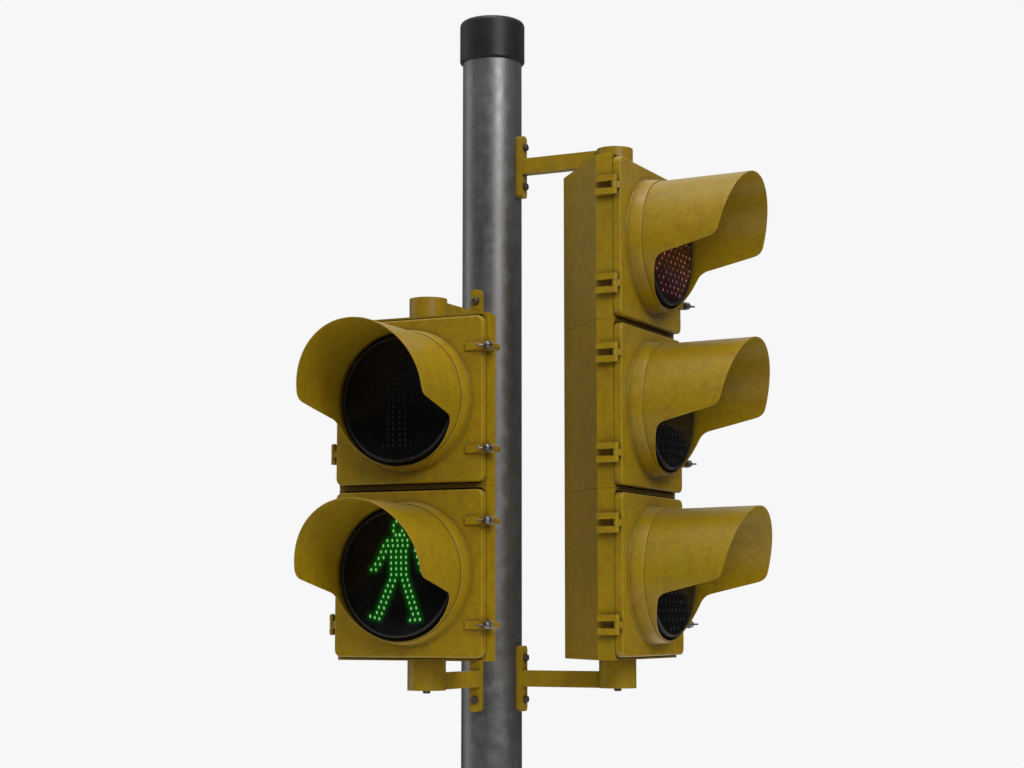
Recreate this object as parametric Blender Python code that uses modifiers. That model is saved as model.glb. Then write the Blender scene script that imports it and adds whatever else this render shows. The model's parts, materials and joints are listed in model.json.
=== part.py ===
"""Post-mounted street signal: a two-lamp pedestrian head and a three-lamp vehicle head on one steel pole.

The origin is on the ground, on the pole's axis, with +Z up.
The pedestrian head faces -Y and the vehicle head faces +X.
A head's own frame has its origin on its hub axis, level with the underside of its lowest section.
In that frame the head faces -Y, its door hinges are at -X and its wing screws at +X.
"""
import math

import bmesh
import bpy
from mathutils import Matrix, Vector

# Driving dimensions, in metres
SECTION_HEIGHT = 0.3556
SECTION_GAP = 0.0006
CLEARANCE = 0.0003
BOLT_PLAY = 0.0006
HEAD_BOTTOM = 2.20
HUB_OFFSET = 0.302

# Housing of one section, seen from above
HOUSING_HALF_WIDTH = 0.1735
HOUSING_WALL = 0.004
PARTING_Y = -0.0675
SHOULDER_Y = -0.0297
BACK_Y = 0.1080
BACK_HALF_WIDTH = 0.035
TOP_FALL = 0.014
WIRE_HOLE_RADIUS = 0.030

# Door, bezel and visor, measured forward from the door's front face
DOOR_HALF_WIDTH = 0.1722
DOOR_BOTTOM_GAP = 0.0065
DOOR_TOP_GAP = 0.0085
DOOR_THICKNESS = 0.0184
DOOR_WALL = 0.004
DOOR_CORNER = 0.015
BEZEL_RADIUS = 0.1465
BEZEL_FOOT_RADIUS = 0.1448
BEZEL_FOOT_HEIGHT = 0.016
BEZEL_FRONT_RADIUS = 0.1425
BEZEL_HEIGHT = 0.033
BEZEL_ROOT = -0.003
BEZEL_NECK_RADIUS = 0.1325
BEZEL_NECK_START = 0.0140
BEZEL_NECK_END = 0.0185
DOOR_BORE_RADIUS = 0.1410
VISOR_RADIUS = 0.1400
VISOR_WALL = 0.0016
VISOR_START = 0.0190
VISOR_REACH = 0.2430
VISOR_FLARE = 0.0160
# where the visor's side view turns: its front edge's ends, and the corner and bottom of its side opening
VISOR_TIP = (0.2425, 0.1430)
VISOR_NOSE = (0.2015, -0.0100)
VISOR_HEEL = (0.0625, -0.0430)
VISOR_LIP = (0.0365, -0.1250)
LAMP_RADIUS = 0.1310
LAMP_FLANGE_RADIUS = 0.1375

# Hinges and wing screws, at the same two heights on every section
FITTING_HEIGHTS = (0.0730, 0.2828)
HINGE_X = -0.1825
HINGE_Y = PARTING_Y - 0.0085
HINGE_HALF_HEIGHT = 0.0206
LUG_HEIGHT = 0.0132
LUG_RADIUS = 0.0062
LUG_DEPTH = 0.0330
KNUCKLE_RADIUS = 0.0059
PIN_RADIUS = 0.0030
SCREW_X = 0.1875
SCREW_RADIUS = 0.0050
STRAP_INNER_X = 0.1340
STRAP_OUTER_X = 0.1965
STRAP_HALF_HEIGHT = 0.0085
STRAP_PROUD = 0.0040
EAR_DEPTH = 0.0140

# Hubs and bracket arms
HUB_RADIUS = 0.0400
UPPER_BOSS = 0.0110
LOWER_BOSS = 0.0137
ARM_HEIGHT = 0.0350
LOWER_HUB_HEIGHT = 0.0480
ARM_THICKNESS = 0.0250
PLATE_HEIGHT = 0.1420
PLATE_WIDTH = 0.0260
PLATE_FACE = 0.0815
PLATE_BOLT_SPACING = 0.0900
HUB_BOLT_RADIUS = 0.0080
HUB_FLANGE_RADIUS = 0.0150
PLATE_BOLT_RADIUS = 0.0055

# Pole
POLE_RADIUS = 0.0670
POLE_WALL = 0.0040
POLE_TOP = HEAD_BOTTOM + 1.4320
CAP_RADIUS = 0.0736
CAP_BOTTOM = HEAD_BOTTOM + 1.3427
CAP_TOP = HEAD_BOTTOM + 1.4401
BASE_HALF_WIDTH = 0.1800
BASE_THICKNESS = 0.0200
ANCHOR_OFFSET = 0.1350
ANCHOR_HOLE_RADIUS = 0.0125
CONDUIT_OFFSET = 0.0380
CONDUIT_RADIUS = 0.0180
GUSSET_REACH = 0.1650
GUSSET_RISE = 0.1200
GUSSET_THICKNESS = 0.0100
WELD_OVERLAP = 0.0020

# Hand hole, on the pole's back, with its cover
HAND_HOLE_Z = 0.6000
HAND_HOLE_HALF_WIDTH = 0.0400
HAND_HOLE_HALF_HEIGHT = 0.0900
COVER_HALF_WIDTH = 0.0480
COVER_HALF_HEIGHT = 0.1120
COVER_RADIUS = 0.0706
COVER_SCREW_Z = 0.5000
COVER_SCREW_HOLE = 0.0036

# Sides of round shapes: the pole and what fits on it share one number, so that their facets line up
POLE_SIDES = 24
RING_SIDES = 24
LAMP_SIDES = 20
HUB_SIDES = 20
BOLT_SIDES = 12
PIN_SIDES = 8

DOOR_FACE_Y = PARTING_Y - CLEARANCE - DOOR_THICKNESS
LAMP_Z = SECTION_HEIGHT / 2
PARTS = "pedestrian_signal"
CUTTERS = "cutters"


def clear_scene():
    """Remove every object and make the two collections."""
    for obj in list(bpy.data.objects):
        bpy.data.objects.remove(obj, do_unlink=True)
    for name in (PARTS, CUTTERS):
        collection = bpy.data.collections.new(name)
        bpy.context.scene.collection.children.link(collection)


def make_material(name, colour, roughness, metallic):
    """A Principled material with one colour."""
    material = bpy.data.materials.new(name)
    material.use_nodes = True
    shader = material.node_tree.nodes["Principled BSDF"]
    shader.inputs["Base Color"].default_value = (*colour, 1.0)
    shader.inputs["Roughness"].default_value = roughness
    shader.inputs["Metallic"].default_value = metallic
    return material


# Meshes from primitives

def mesh_from(bm, name):
    """Finish a bmesh as a mesh with its faces pointing out."""
    bmesh.ops.recalc_face_normals(bm, faces=bm.faces)
    mesh = bpy.data.meshes.new(name)
    bm.to_mesh(mesh)
    bm.free()
    return mesh


def box(low, high):
    """A box between two corners."""
    low, high = Vector(low), Vector(high)
    placed = Matrix.Translation((low + high) / 2) @ Matrix.Diagonal((*(high - low), 1))
    bm = bmesh.new()
    bmesh.ops.create_cube(bm, size=1.0, matrix=placed)
    return mesh_from(bm, "box")


def rod(radius, start, end, segments=BOLT_SIDES, end_radius=None):
    """A cylinder or a cone between two points."""
    start, end = Vector(start), Vector(end)
    axis = end - start
    turn = axis.to_track_quat("Z", "Y").to_matrix().to_4x4()
    bm = bmesh.new()
    bmesh.ops.create_cone(
        bm,
        cap_ends=True,
        segments=segments,
        radius1=radius,
        radius2=radius if end_radius is None else end_radius,
        depth=axis.length,
        matrix=Matrix.Translation((start + end) / 2) @ turn,
    )
    return mesh_from(bm, "rod")


def prism(outline, low, high, axis="Z"):
    """A flat outline of (a, b) points extruded between two places along an axis."""
    bm = bmesh.new()
    point = {
        "Z": lambda a, b, c: (a, b, c),
        "X": lambda a, b, c: (c, a, b),
    }[axis]
    face = bm.faces.new([bm.verts.new(point(a, b, low)) for a, b in outline])
    grown = bmesh.ops.extrude_face_region(bm, geom=[face])
    moved = [v for v in grown["geom"] if isinstance(v, bmesh.types.BMVert)]
    bmesh.ops.translate(bm, verts=moved, vec=point(0, 0, high - low))
    return mesh_from(bm, "prism")


def arc(centre, radius, start, end, steps):
    """Points along an arc, with the angles in degrees."""
    points = []
    for i in range(steps + 1):
        angle = math.radians(start + (end - start) * i / steps)
        points.append((centre[0] + radius * math.cos(angle), centre[1] + radius * math.sin(angle)))
    return points


def rounded_rectangle(half_width, low, high, radius, steps=3):
    """The outline of a rectangle with round corners, in X and Z."""
    x, bottom, top = half_width - radius, low + radius, high - radius
    corners = ((x, bottom, -90), (x, top, 0), (-x, top, 90), (-x, bottom, 180))
    outline = []
    for cx, cz, start in corners:
        outline += arc((cx, cz), radius, start, start + 90, steps)
    return outline


def turned(profile, segments):
    """A solid or a ring turned about the Z axis from (radius, height) points, by a Screw modifier."""
    bm = bmesh.new()
    verts = [bm.verts.new((r, 0, h)) for r, h in profile]
    closed = profile[0][0] > 0
    for a, b in zip(verts, verts[1:] + verts[:1] if closed else verts[1:]):
        bm.edges.new((a, b))
    mesh = bpy.data.meshes.new("profile")
    bm.to_mesh(mesh)
    bm.free()
    shape = bpy.data.objects.new("turned", mesh)
    bpy.data.collections[CUTTERS].objects.link(shape)
    screw = shape.modifiers.new("Screw", "SCREW")
    screw.steps = segments
    screw.render_steps = segments
    screw.use_merge_vertices = True
    screw.merge_threshold = 0.00001
    return apply_modifiers(shape)


def facing_front(mesh, z=0.0):
    """Turn a mesh made about +Z so that it faces -Y, with its zero on the door's face."""
    mesh.transform(Matrix.Translation((0, DOOR_FACE_Y, z)) @ Matrix.Rotation(math.radians(90), 4, "X"))
    return mesh


# Modifiers

def apply_modifiers(shape):
    """The object's evaluated mesh, with the object removed."""
    bpy.context.view_layer.update()
    evaluated = shape.evaluated_get(bpy.context.evaluated_depsgraph_get())
    mesh = bpy.data.meshes.new_from_object(evaluated)
    bpy.data.objects.remove(shape, do_unlink=True)
    bm = bmesh.new()
    bm.from_mesh(mesh)
    bmesh.ops.remove_doubles(bm, verts=bm.verts, dist=0.00001)
    bmesh.ops.recalc_face_normals(bm, faces=bm.faces)
    bm.to_mesh(mesh)
    bm.free()
    return mesh


def combine(body, others, operation):
    """Join meshes to a body, or cut them from it, with exact Boolean modifiers."""
    shape = bpy.data.objects.new("shape", body)
    bpy.data.collections[CUTTERS].objects.link(shape)
    tools = []
    for other in others:
        tool = bpy.data.objects.new("tool", other)
        tool.hide_render = True
        tool.display_type = "WIRE"
        bpy.data.collections[CUTTERS].objects.link(tool)
        modifier = shape.modifiers.new("Boolean", "BOOLEAN")
        modifier.operation = operation
        modifier.solver = "EXACT"
        modifier.object = tool
        tools.append(tool)
    mesh = apply_modifiers(shape)
    for tool in tools:
        bpy.data.objects.remove(tool, do_unlink=True)
    return mesh


def join(body, *others):
    return combine(body, others, "UNION")


def cut(body, *others):
    return combine(body, others, "DIFFERENCE")


def keep_inside(body, *others):
    return combine(body, others, "INTERSECT")


# Objects

def place(name, mesh, material, parent=None, location=(0, 0, 0)):
    """One named part, shaded smooth with sharp edges kept."""
    mesh = mesh.copy()
    mesh.name = name
    mesh.materials.clear()
    mesh.materials.append(material)
    mesh.shade_smooth()
    mesh.set_sharp_from_angle(angle=math.radians(35))
    obj = bpy.data.objects.new(name, mesh)
    obj.location = location
    obj.parent = parent
    bpy.data.collections[PARTS].objects.link(obj)
    return obj


def pivot(name, location, parent=None, turn=0.0):
    """An empty on a joint's axis."""
    empty = bpy.data.objects.new(name, None)
    empty.location = location
    empty.rotation_euler.z = math.radians(turn)
    empty.parent = parent
    empty.empty_display_size = 0.05
    bpy.data.collections[PARTS].objects.link(empty)
    return empty


# Pole and its trim

def base_plate():
    """The square plate on the ground, with round corners."""
    half, radius = BASE_HALF_WIDTH, 0.03
    corner = arc((half - radius, half - radius), radius, 0, 90, 3)
    outline = []
    for quarter in range(4):
        turn = Matrix.Rotation(math.radians(90 * quarter), 2)
        outline += [tuple(turn @ Vector(point)) for point in corner]
    return prism(outline, 0, BASE_THICKNESS)


def gussets():
    """Four upright plates welded between the tube and the base plate."""
    inner, low = POLE_RADIUS - WELD_OVERLAP, BASE_THICKNESS - WELD_OVERLAP
    side = [
        (inner, low),
        (GUSSET_REACH, low),
        (GUSSET_REACH, BASE_THICKNESS + 0.012),
        (inner + 0.012, BASE_THICKNESS + GUSSET_RISE),
        (inner, BASE_THICKNESS + GUSSET_RISE),
    ]
    plates = []
    for quarter in range(4):
        plate = prism(side, -GUSSET_THICKNESS / 2, GUSSET_THICKNESS / 2, "X")
        plate.transform(Matrix.Rotation(math.radians(90 * quarter), 4, "Z"))
        plates.append(plate)
    return plates


def pole_holes():
    """Anchor and conduit holes in the base, the hand hole, and the bracket bolts' holes."""
    holes = []
    for x in (-ANCHOR_OFFSET, ANCHOR_OFFSET):
        for y in (-ANCHOR_OFFSET, ANCHOR_OFFSET):
            holes.append(rod(ANCHOR_HOLE_RADIUS, (x, y, -0.01), (x, y, 0.03)))
    for x in (-CONDUIT_OFFSET, CONDUIT_OFFSET):
        holes.append(rod(CONDUIT_RADIUS, (x, 0, -0.01), (x, 0, 0.03)))
    low = (-HAND_HOLE_HALF_WIDTH, 0.02, HAND_HOLE_Z - HAND_HOLE_HALF_HEIGHT)
    high = (HAND_HOLE_HALF_WIDTH, 0.08, HAND_HOLE_Z + HAND_HOLE_HALF_HEIGHT)
    holes.append(box(low, high))
    holes.append(rod(COVER_SCREW_HOLE, (0, 0.04, COVER_SCREW_Z), (0, 0.08, COVER_SCREW_Z), PIN_SIDES))
    for direction, upper_arm_z, lower_arm_z in arm_heights():
        for z in (upper_arm_z, lower_arm_z):
            for step in (-0.5, 0.5):
                level = z + step * PLATE_BOLT_SPACING
                start = (*(direction * 0.04), level)
                end = (*(direction * 0.09), level)
                holes.append(rod(PLATE_BOLT_RADIUS + BOLT_PLAY, start, end, PIN_SIDES))
    return holes


def pole_mesh():
    """A tube welded on a base plate with four gussets, with all its holes."""
    inner, foot = POLE_RADIUS - POLE_WALL, BASE_THICKNESS - WELD_OVERLAP * 2
    tube = turned(
        [(POLE_RADIUS, POLE_TOP), (POLE_RADIUS, foot), (inner, foot), (inner, POLE_TOP)],
        POLE_SIDES,
    )
    return cut(join(tube, base_plate(), *gussets()), *pole_holes())


def arm_heights():
    """For each head: the way its arms point, and the heights of its upper and lower bar centres."""
    lower = HEAD_BOTTOM - LOWER_BOSS - CLEARANCE - LOWER_HUB_HEIGHT + ARM_HEIGHT / 2
    for direction, sections in ((Vector((0, -1)), 2), (Vector((1, 0)), 3)):
        upper = HEAD_BOTTOM + sections * SECTION_HEIGHT + UPPER_BOSS + CLEARANCE + ARM_HEIGHT / 2
        yield direction, upper, lower


def cap_mesh():
    """A plastic cup over the pole's open top, with a rounded shoulder."""
    inner = POLE_RADIUS + 0.0004
    shoulder = arc((CAP_RADIUS - 0.012, CAP_TOP - 0.012), 0.012, 90, 0, 3)
    return turned(
        [
            (0, CAP_TOP),
            *shoulder,
            (CAP_RADIUS, CAP_BOTTOM),
            (inner, CAP_BOTTOM),
            (inner, POLE_TOP + CLEARANCE),
            (0, POLE_TOP + CLEARANCE),
        ],
        POLE_SIDES,
    )


def cover_mesh():
    """The hand hole's curved cover, with a tongue that hooks behind the hole's upper edge."""
    inner = POLE_RADIUS + CLEARANCE
    low, high = HAND_HOLE_Z - COVER_HALF_HEIGHT, HAND_HOLE_Z + COVER_HALF_HEIGHT
    shell = turned([(COVER_RADIUS, high), (COVER_RADIUS, low), (inner, low), (inner, high)], POLE_SIDES)
    window = box((-COVER_HALF_WIDTH, 0.03, low), (COVER_HALF_WIDTH, 0.09, high))
    hook_low = HAND_HOLE_Z + HAND_HOLE_HALF_HEIGHT - 0.012
    stem = box((-0.012, 0.056, hook_low), (0.012, 0.068, hook_low + 0.008))
    tongue = box((-0.012, 0.056, hook_low), (0.012, 0.0595, hook_low + 0.027))
    hole = rod(COVER_SCREW_HOLE, (0, 0.06, COVER_SCREW_Z), (0, 0.08, COVER_SCREW_Z), PIN_SIDES)
    return cut(join(keep_inside(shell, window), stem, tongue), hole)


def cover_screw_mesh():
    """A round-headed screw through the cover and the pole's wall."""
    z = COVER_SCREW_Z
    head = rod(0.0070, (0, COVER_RADIUS + CLEARANCE, z), (0, COVER_RADIUS + 0.0045, z), end_radius=0.0050)
    shank = rod(0.0030, (0, 0.0540, z), (0, COVER_RADIUS + 0.0020, z), PIN_SIDES)
    return join(head, shank)


# Brackets, in an arm's own frame: the pole's axis at the origin, the arm towards -Y, bar centred on Z = 0

def arm_mesh(hub_low, hub_high):
    """One casting: a saddle plate on the pole, a bar, and a hub disc at the end."""
    half_plate = PLATE_HEIGHT / 2
    half_bar = ARM_HEIGHT / 2
    outline = rounded_rectangle(PLATE_WIDTH / 2, -half_plate, half_plate, 0.009)
    plate = prism(outline, 0.060, PLATE_FACE)
    plate.transform(Matrix.Rotation(math.radians(90), 4, "X"))
    bar = box(
        (-ARM_THICKNESS / 2, -HUB_OFFSET + 0.020, -half_bar),
        (ARM_THICKNESS / 2, -PLATE_FACE + 0.004, half_bar),
    )
    hub = rod(HUB_RADIUS, (0, -HUB_OFFSET, hub_low), (0, -HUB_OFFSET, hub_high), HUB_SIDES)
    saddle = rod(POLE_RADIUS + CLEARANCE, (0, 0, -0.1), (0, 0, 0.1), POLE_SIDES)
    bore = rod(HUB_BOLT_RADIUS + BOLT_PLAY, (0, -HUB_OFFSET, -0.1), (0, -HUB_OFFSET, 0.1))
    bolt_holes = []
    for step in (-0.5, 0.5):
        z = step * PLATE_BOLT_SPACING
        bolt_holes.append(rod(PLATE_BOLT_RADIUS + BOLT_PLAY, (0, -0.05, z), (0, -0.09, z), PIN_SIDES))
    return cut(join(plate, bar, hub), saddle, bore, *bolt_holes)


def plate_bolt_mesh():
    """A hexagon bolt with its washer, along the arm, ending inside the pole."""
    washer_back = -PLATE_FACE - CLEARANCE
    shank = rod(PLATE_BOLT_RADIUS, (0, -0.0520, 0), (0, washer_back - 0.004, 0), PIN_SIDES)
    washer = rod(0.0090, (0, washer_back, 0), (0, washer_back - 0.0018, 0))
    head = rod(0.0080, (0, washer_back - 0.001, 0), (0, washer_back - 0.0078, 0), 6)
    return join(washer, shank, head)


def hub_bolt_mesh(inside, outside):
    """A stud through a hub: a flanged nut inside the housing, and its round end outside."""
    sign = 1 if outside > inside else -1
    shank = rod(HUB_BOLT_RADIUS, (0, 0, inside - sign * 0.014), (0, 0, outside))
    flange = rod(HUB_FLANGE_RADIUS, (0, 0, inside - sign * 0.003), (0, 0, inside), 16)
    nut = rod(0.0125, (0, 0, inside - sign * 0.011), (0, 0, inside - sign * 0.002), 6)
    return join(flange, shank, nut)


# One signal section, in its own frame: the hub axis at the origin, Z = 0 at its underside

def housing_shell(is_top):
    """The open-fronted casing as one surface, thickened inwards by a Solidify modifier."""
    outline = [
        (-HOUSING_HALF_WIDTH, PARTING_Y),
        (-HOUSING_HALF_WIDTH, SHOULDER_Y),
        (-BACK_HALF_WIDTH, BACK_Y),
        (BACK_HALF_WIDTH, BACK_Y),
        (HOUSING_HALF_WIDTH, SHOULDER_Y),
        (HOUSING_HALF_WIDTH, PARTING_Y),
    ]
    low, high = SECTION_GAP / 2, SECTION_HEIGHT - SECTION_GAP / 2
    bm = bmesh.new()
    bottom = [bm.verts.new((x, y, low)) for x, y in outline]
    top = []
    for x, y in outline:
        fall = TOP_FALL * (y - PARTING_Y) / (BACK_Y - PARTING_Y) if is_top else 0
        top.append(bm.verts.new((x, y, high - fall)))
    bm.faces.new(bottom)
    bm.faces.new(top)
    for i in range(len(outline) - 1):
        bm.faces.new((bottom[i], bottom[i + 1], top[i + 1], top[i]))
    shape = bpy.data.objects.new("housing", mesh_from(bm, "housing"))
    bpy.data.collections[CUTTERS].objects.link(shape)
    solidify = shape.modifiers.new("Solidify", "SOLIDIFY")
    solidify.thickness = HOUSING_WALL
    solidify.offset = -1
    solidify.use_even_offset = True
    shell = apply_modifiers(shape)
    if not is_top:
        return shell
    # the sloping top's rim leans over the parting plane, so it is trimmed back to it
    return cut(shell, box((-0.2, PARTING_Y - 0.01, -0.1), (0.2, PARTING_Y, SECTION_HEIGHT + 0.1)))


def hinge_lugs():
    """The two bars of each hinge, cast on the housing's side, with round ends about the hinge's axis."""
    outer, root = HINGE_X - LUG_RADIUS, -HOUSING_HALF_WIDTH + 0.002
    outline = [
        (root, PARTING_Y + LUG_DEPTH),
        (outer, PARTING_Y + LUG_DEPTH),
        *arc((HINGE_X, HINGE_Y), LUG_RADIUS, 180, 360, 6),
        (HINGE_X + LUG_RADIUS, PARTING_Y + 0.0004),
        (root, PARTING_Y + 0.0004),
    ]
    lugs = []
    for height in FITTING_HEIGHTS:
        lugs.append(prism(outline, height - HINGE_HALF_HEIGHT, height - HINGE_HALF_HEIGHT + LUG_HEIGHT))
        lugs.append(prism(outline, height + HINGE_HALF_HEIGHT - LUG_HEIGHT, height + HINGE_HALF_HEIGHT))
    return lugs


def hinge_knuckle(height):
    """The door's eye, between the housing's two lugs."""
    half = HINGE_HALF_HEIGHT - LUG_HEIGHT - CLEARANCE * 2
    root = -DOOR_HALF_WIDTH + 0.003
    outline = [
        (root, DOOR_FACE_Y + 0.0010),
        (HINGE_X + KNUCKLE_RADIUS, DOOR_FACE_Y + 0.0010),
        *arc((HINGE_X, HINGE_Y), KNUCKLE_RADIUS, 300, 90, 6),
        (root, HINGE_Y + KNUCKLE_RADIUS),
    ]
    return prism(outline, height - half, height + half)


def screw_strap(height):
    """The raised strap on the door's face, which ends in a lug beyond the door's edge."""
    front, root = DOOR_FACE_Y - STRAP_PROUD, DOOR_HALF_WIDTH - 0.003
    outline = [
        (STRAP_INNER_X, front),
        (STRAP_INNER_X, DOOR_FACE_Y + 0.001),
        (root, DOOR_FACE_Y + 0.001),
        (root, PARTING_Y - CLEARANCE),
        (STRAP_OUTER_X, PARTING_Y - CLEARANCE),
        (STRAP_OUTER_X, front),
    ]
    return prism(outline, height - STRAP_HALF_HEIGHT, height + STRAP_HALF_HEIGHT)


def fitting_holes(screw_hole_radius):
    """The bores of a section's two hinges and two wing screws."""
    holes = []
    for height in FITTING_HEIGHTS:
        start = (HINGE_X, HINGE_Y, height - 0.03)
        end = (HINGE_X, HINGE_Y, height + 0.03)
        holes.append(rod(PIN_RADIUS + 0.0004, start, end, PIN_SIDES))
        start = (SCREW_X, DOOR_FACE_Y - 0.02, height)
        end = (SCREW_X, PARTING_Y + 0.03, height)
        holes.append(rod(screw_hole_radius, start, end))
    return holes


def housing_mesh(is_top, is_bottom):
    """A section's casing with its hinge lugs, screw ears, bosses and holes."""
    additions = hinge_lugs()
    for height in FITTING_HEIGHTS:
        low = (HOUSING_HALF_WIDTH - 0.002, PARTING_Y, height - STRAP_HALF_HEIGHT)
        high = (STRAP_OUTER_X, PARTING_Y + EAR_DEPTH, height + STRAP_HALF_HEIGHT)
        additions.append(box(low, high))
    holes = fitting_holes(SCREW_RADIUS + 0.0014)
    if is_top:
        start, end = (0, 0, SECTION_HEIGHT - 0.010), (0, 0, SECTION_HEIGHT + UPPER_BOSS)
        additions.append(rod(HUB_RADIUS, start, end, HUB_SIDES))
    if is_bottom:
        additions.append(rod(HUB_RADIUS, (0, 0, 0.003), (0, 0, -LOWER_BOSS), HUB_SIDES))
    top_radius = HUB_BOLT_RADIUS + BOLT_PLAY if is_top else WIRE_HOLE_RADIUS
    bottom_radius = HUB_BOLT_RADIUS + BOLT_PLAY if is_bottom else WIRE_HOLE_RADIUS
    holes.append(rod(top_radius, (0, 0, SECTION_HEIGHT - 0.03), (0, 0, SECTION_HEIGHT + 0.03)))
    holes.append(rod(bottom_radius, (0, 0, 0.03), (0, 0, -0.03)))
    return cut(join(housing_shell(is_top), *additions), *holes)


def door_mesh():
    """A section's door: a shallow tray with a raised bezel, hinge knuckles and screw straps."""
    low, high = DOOR_BOTTOM_GAP, SECTION_HEIGHT - DOOR_TOP_GAP
    outline = rounded_rectangle(DOOR_HALF_WIDTH, low, high, DOOR_CORNER)
    hollow = rounded_rectangle(
        DOOR_HALF_WIDTH - DOOR_WALL, low + DOOR_WALL, high - DOOR_WALL, DOOR_CORNER - DOOR_WALL
    )
    tray = prism(outline, 0, -DOOR_THICKNESS)
    tray.transform(Matrix.Translation((0, DOOR_FACE_Y, 0)) @ Matrix.Rotation(math.radians(90), 4, "X"))
    recess = prism(hollow, -DOOR_WALL, -DOOR_THICKNESS - 0.01)
    recess.transform(Matrix.Translation((0, DOOR_FACE_Y, 0)) @ Matrix.Rotation(math.radians(90), 4, "X"))
    opening = rod(DOOR_BORE_RADIUS + 0.003, (0, -0.12, LAMP_Z), (0, -0.06, LAMP_Z), RING_SIDES)
    bezel = turned(
        [
            (BEZEL_FRONT_RADIUS, BEZEL_HEIGHT),
            (BEZEL_FOOT_RADIUS, BEZEL_FOOT_HEIGHT),
            (BEZEL_RADIUS, BEZEL_ROOT),
            (DOOR_BORE_RADIUS, BEZEL_ROOT),
            (DOOR_BORE_RADIUS, BEZEL_NECK_START),
            (BEZEL_NECK_RADIUS, BEZEL_NECK_START),
            (BEZEL_NECK_RADIUS, BEZEL_NECK_END),
            (VISOR_RADIUS + 0.0006, BEZEL_NECK_END),
            (VISOR_RADIUS + 0.0006, BEZEL_HEIGHT),
        ],
        RING_SIDES,
    )
    additions = [facing_front(bezel, LAMP_Z)]
    for height in FITTING_HEIGHTS:
        additions.append(hinge_knuckle(height))
        additions.append(screw_strap(height))
    return cut(join(cut(tray, recess, opening), *additions), *fitting_holes(SCREW_RADIUS + 0.0008))


def visor_mesh():
    """A rolled tube cut away below: a raked front edge, a slanting side, and a short lip underneath."""
    length = VISOR_REACH + 0.01 - VISOR_START
    front_radius = VISOR_RADIUS + VISOR_FLARE * length
    tube = turned(
        [
            (front_radius, VISOR_START + length),
            (VISOR_RADIUS, VISOR_START),
            (VISOR_RADIUS - VISOR_WALL, VISOR_START),
            (front_radius - VISOR_WALL, VISOR_START + length),
        ],
        RING_SIDES,
    )
    beyond, above, below = VISOR_REACH + 0.05, 0.17, -0.17
    slant = (VISOR_TIP[0] - VISOR_NOSE[0]) / (VISOR_TIP[1] - VISOR_NOSE[1])
    outline = [
        (beyond, above),
        (VISOR_TIP[0] + slant * (above - VISOR_TIP[1]), above),
        *soften(VISOR_TIP, VISOR_NOSE, VISOR_HEEL, 0.016),
        *soften(VISOR_NOSE, VISOR_HEEL, VISOR_LIP, 0.018),
        VISOR_LIP,
        (VISOR_LIP[0] - 0.0005, below),
        (beyond, below),
    ]
    side = [(-reach, height) for reach, height in outline]
    cutter = prism(side, -0.2, 0.2, "X")
    cutter.transform(Matrix.Translation((0, DOOR_FACE_Y, LAMP_Z)))
    return cut(facing_front(tube, LAMP_Z), cutter)


def soften(before, corner, after, setback, steps=3):
    """Points of a rounded corner, starting and ending a setback away from it."""
    before, corner, after = Vector(before), Vector(corner), Vector(after)
    start = corner + (before - corner).normalized() * setback
    end = corner + (after - corner).normalized() * setback
    points = []
    for i in range(steps + 1):
        t = i / steps
        points.append(tuple(start * (1 - t) ** 2 + corner * 2 * t * (1 - t) + end * t ** 2))
    return points


def lamp_mesh():
    """The sealed LED unit: a domed lens on a drum, a mounting flange and a tapered back."""
    return facing_front(
        turned(
            [
                (0, 0.0500),
                (0.080, 0.0475),
                (0.1265, 0.0425),
                (LAMP_RADIUS, 0.0395),
                (LAMP_RADIUS, 0.0137),
                (LAMP_FLANGE_RADIUS, 0.0137),
                (LAMP_FLANGE_RADIUS, 0.0100),
                (0.1260, 0.0100),
                (0.0950, -0.0380),
                (0, -0.0380),
            ],
            LAMP_SIDES,
        ),
        LAMP_Z,
    )


def pin_mesh():
    """A hinge pin with a low round head at its upper end."""
    shank = rod(PIN_RADIUS, (0, 0, -0.0215), (0, 0, 0.0212), PIN_SIDES)
    head = rod(0.0045, (0, 0, HINGE_HALF_HEIGHT + CLEARANCE), (0, 0, HINGE_HALF_HEIGHT + 0.002), PIN_SIDES)
    return join(shank, head)


def wing_screw_mesh():
    """A captive wing screw about Y: two flared wings on a round hub, and a shank through strap and ear."""
    seat = DOOR_FACE_Y - STRAP_PROUD - CLEARANCE
    hub = rod(0.0088, (0, seat, 0), (0, seat - 0.0120, 0), end_radius=0.0066)
    shank = rod(SCREW_RADIUS, (0, seat - 0.002, 0), (0, PARTING_Y + EAR_DEPTH + 0.004, 0), PIN_SIDES)
    wings = []
    for side in (-1, 1):
        outline = [
            (side * 0.0030, seat - 0.0010),
            (side * 0.0075, seat - 0.0018),
            (side * 0.0160, seat - 0.0080),
            (side * 0.0192, seat - 0.0148),
            (side * 0.0170, seat - 0.0170),
            (side * 0.0128, seat - 0.0158),
            (side * 0.0070, seat - 0.0100),
            (side * 0.0030, seat - 0.0095),
        ]
        wings.append(prism(outline, -0.0018, 0.0018))
    return join(hub, shank, *wings)


# Assembly

def build_pole(steel, plastic, dark_steel):
    place("pole", pole_mesh(), steel)
    place("pole_cap", cap_mesh(), plastic)
    place("hand_hole_cover", cover_mesh(), steel)
    place("hand_hole_screw", cover_screw_mesh(), dark_steel)


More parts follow.
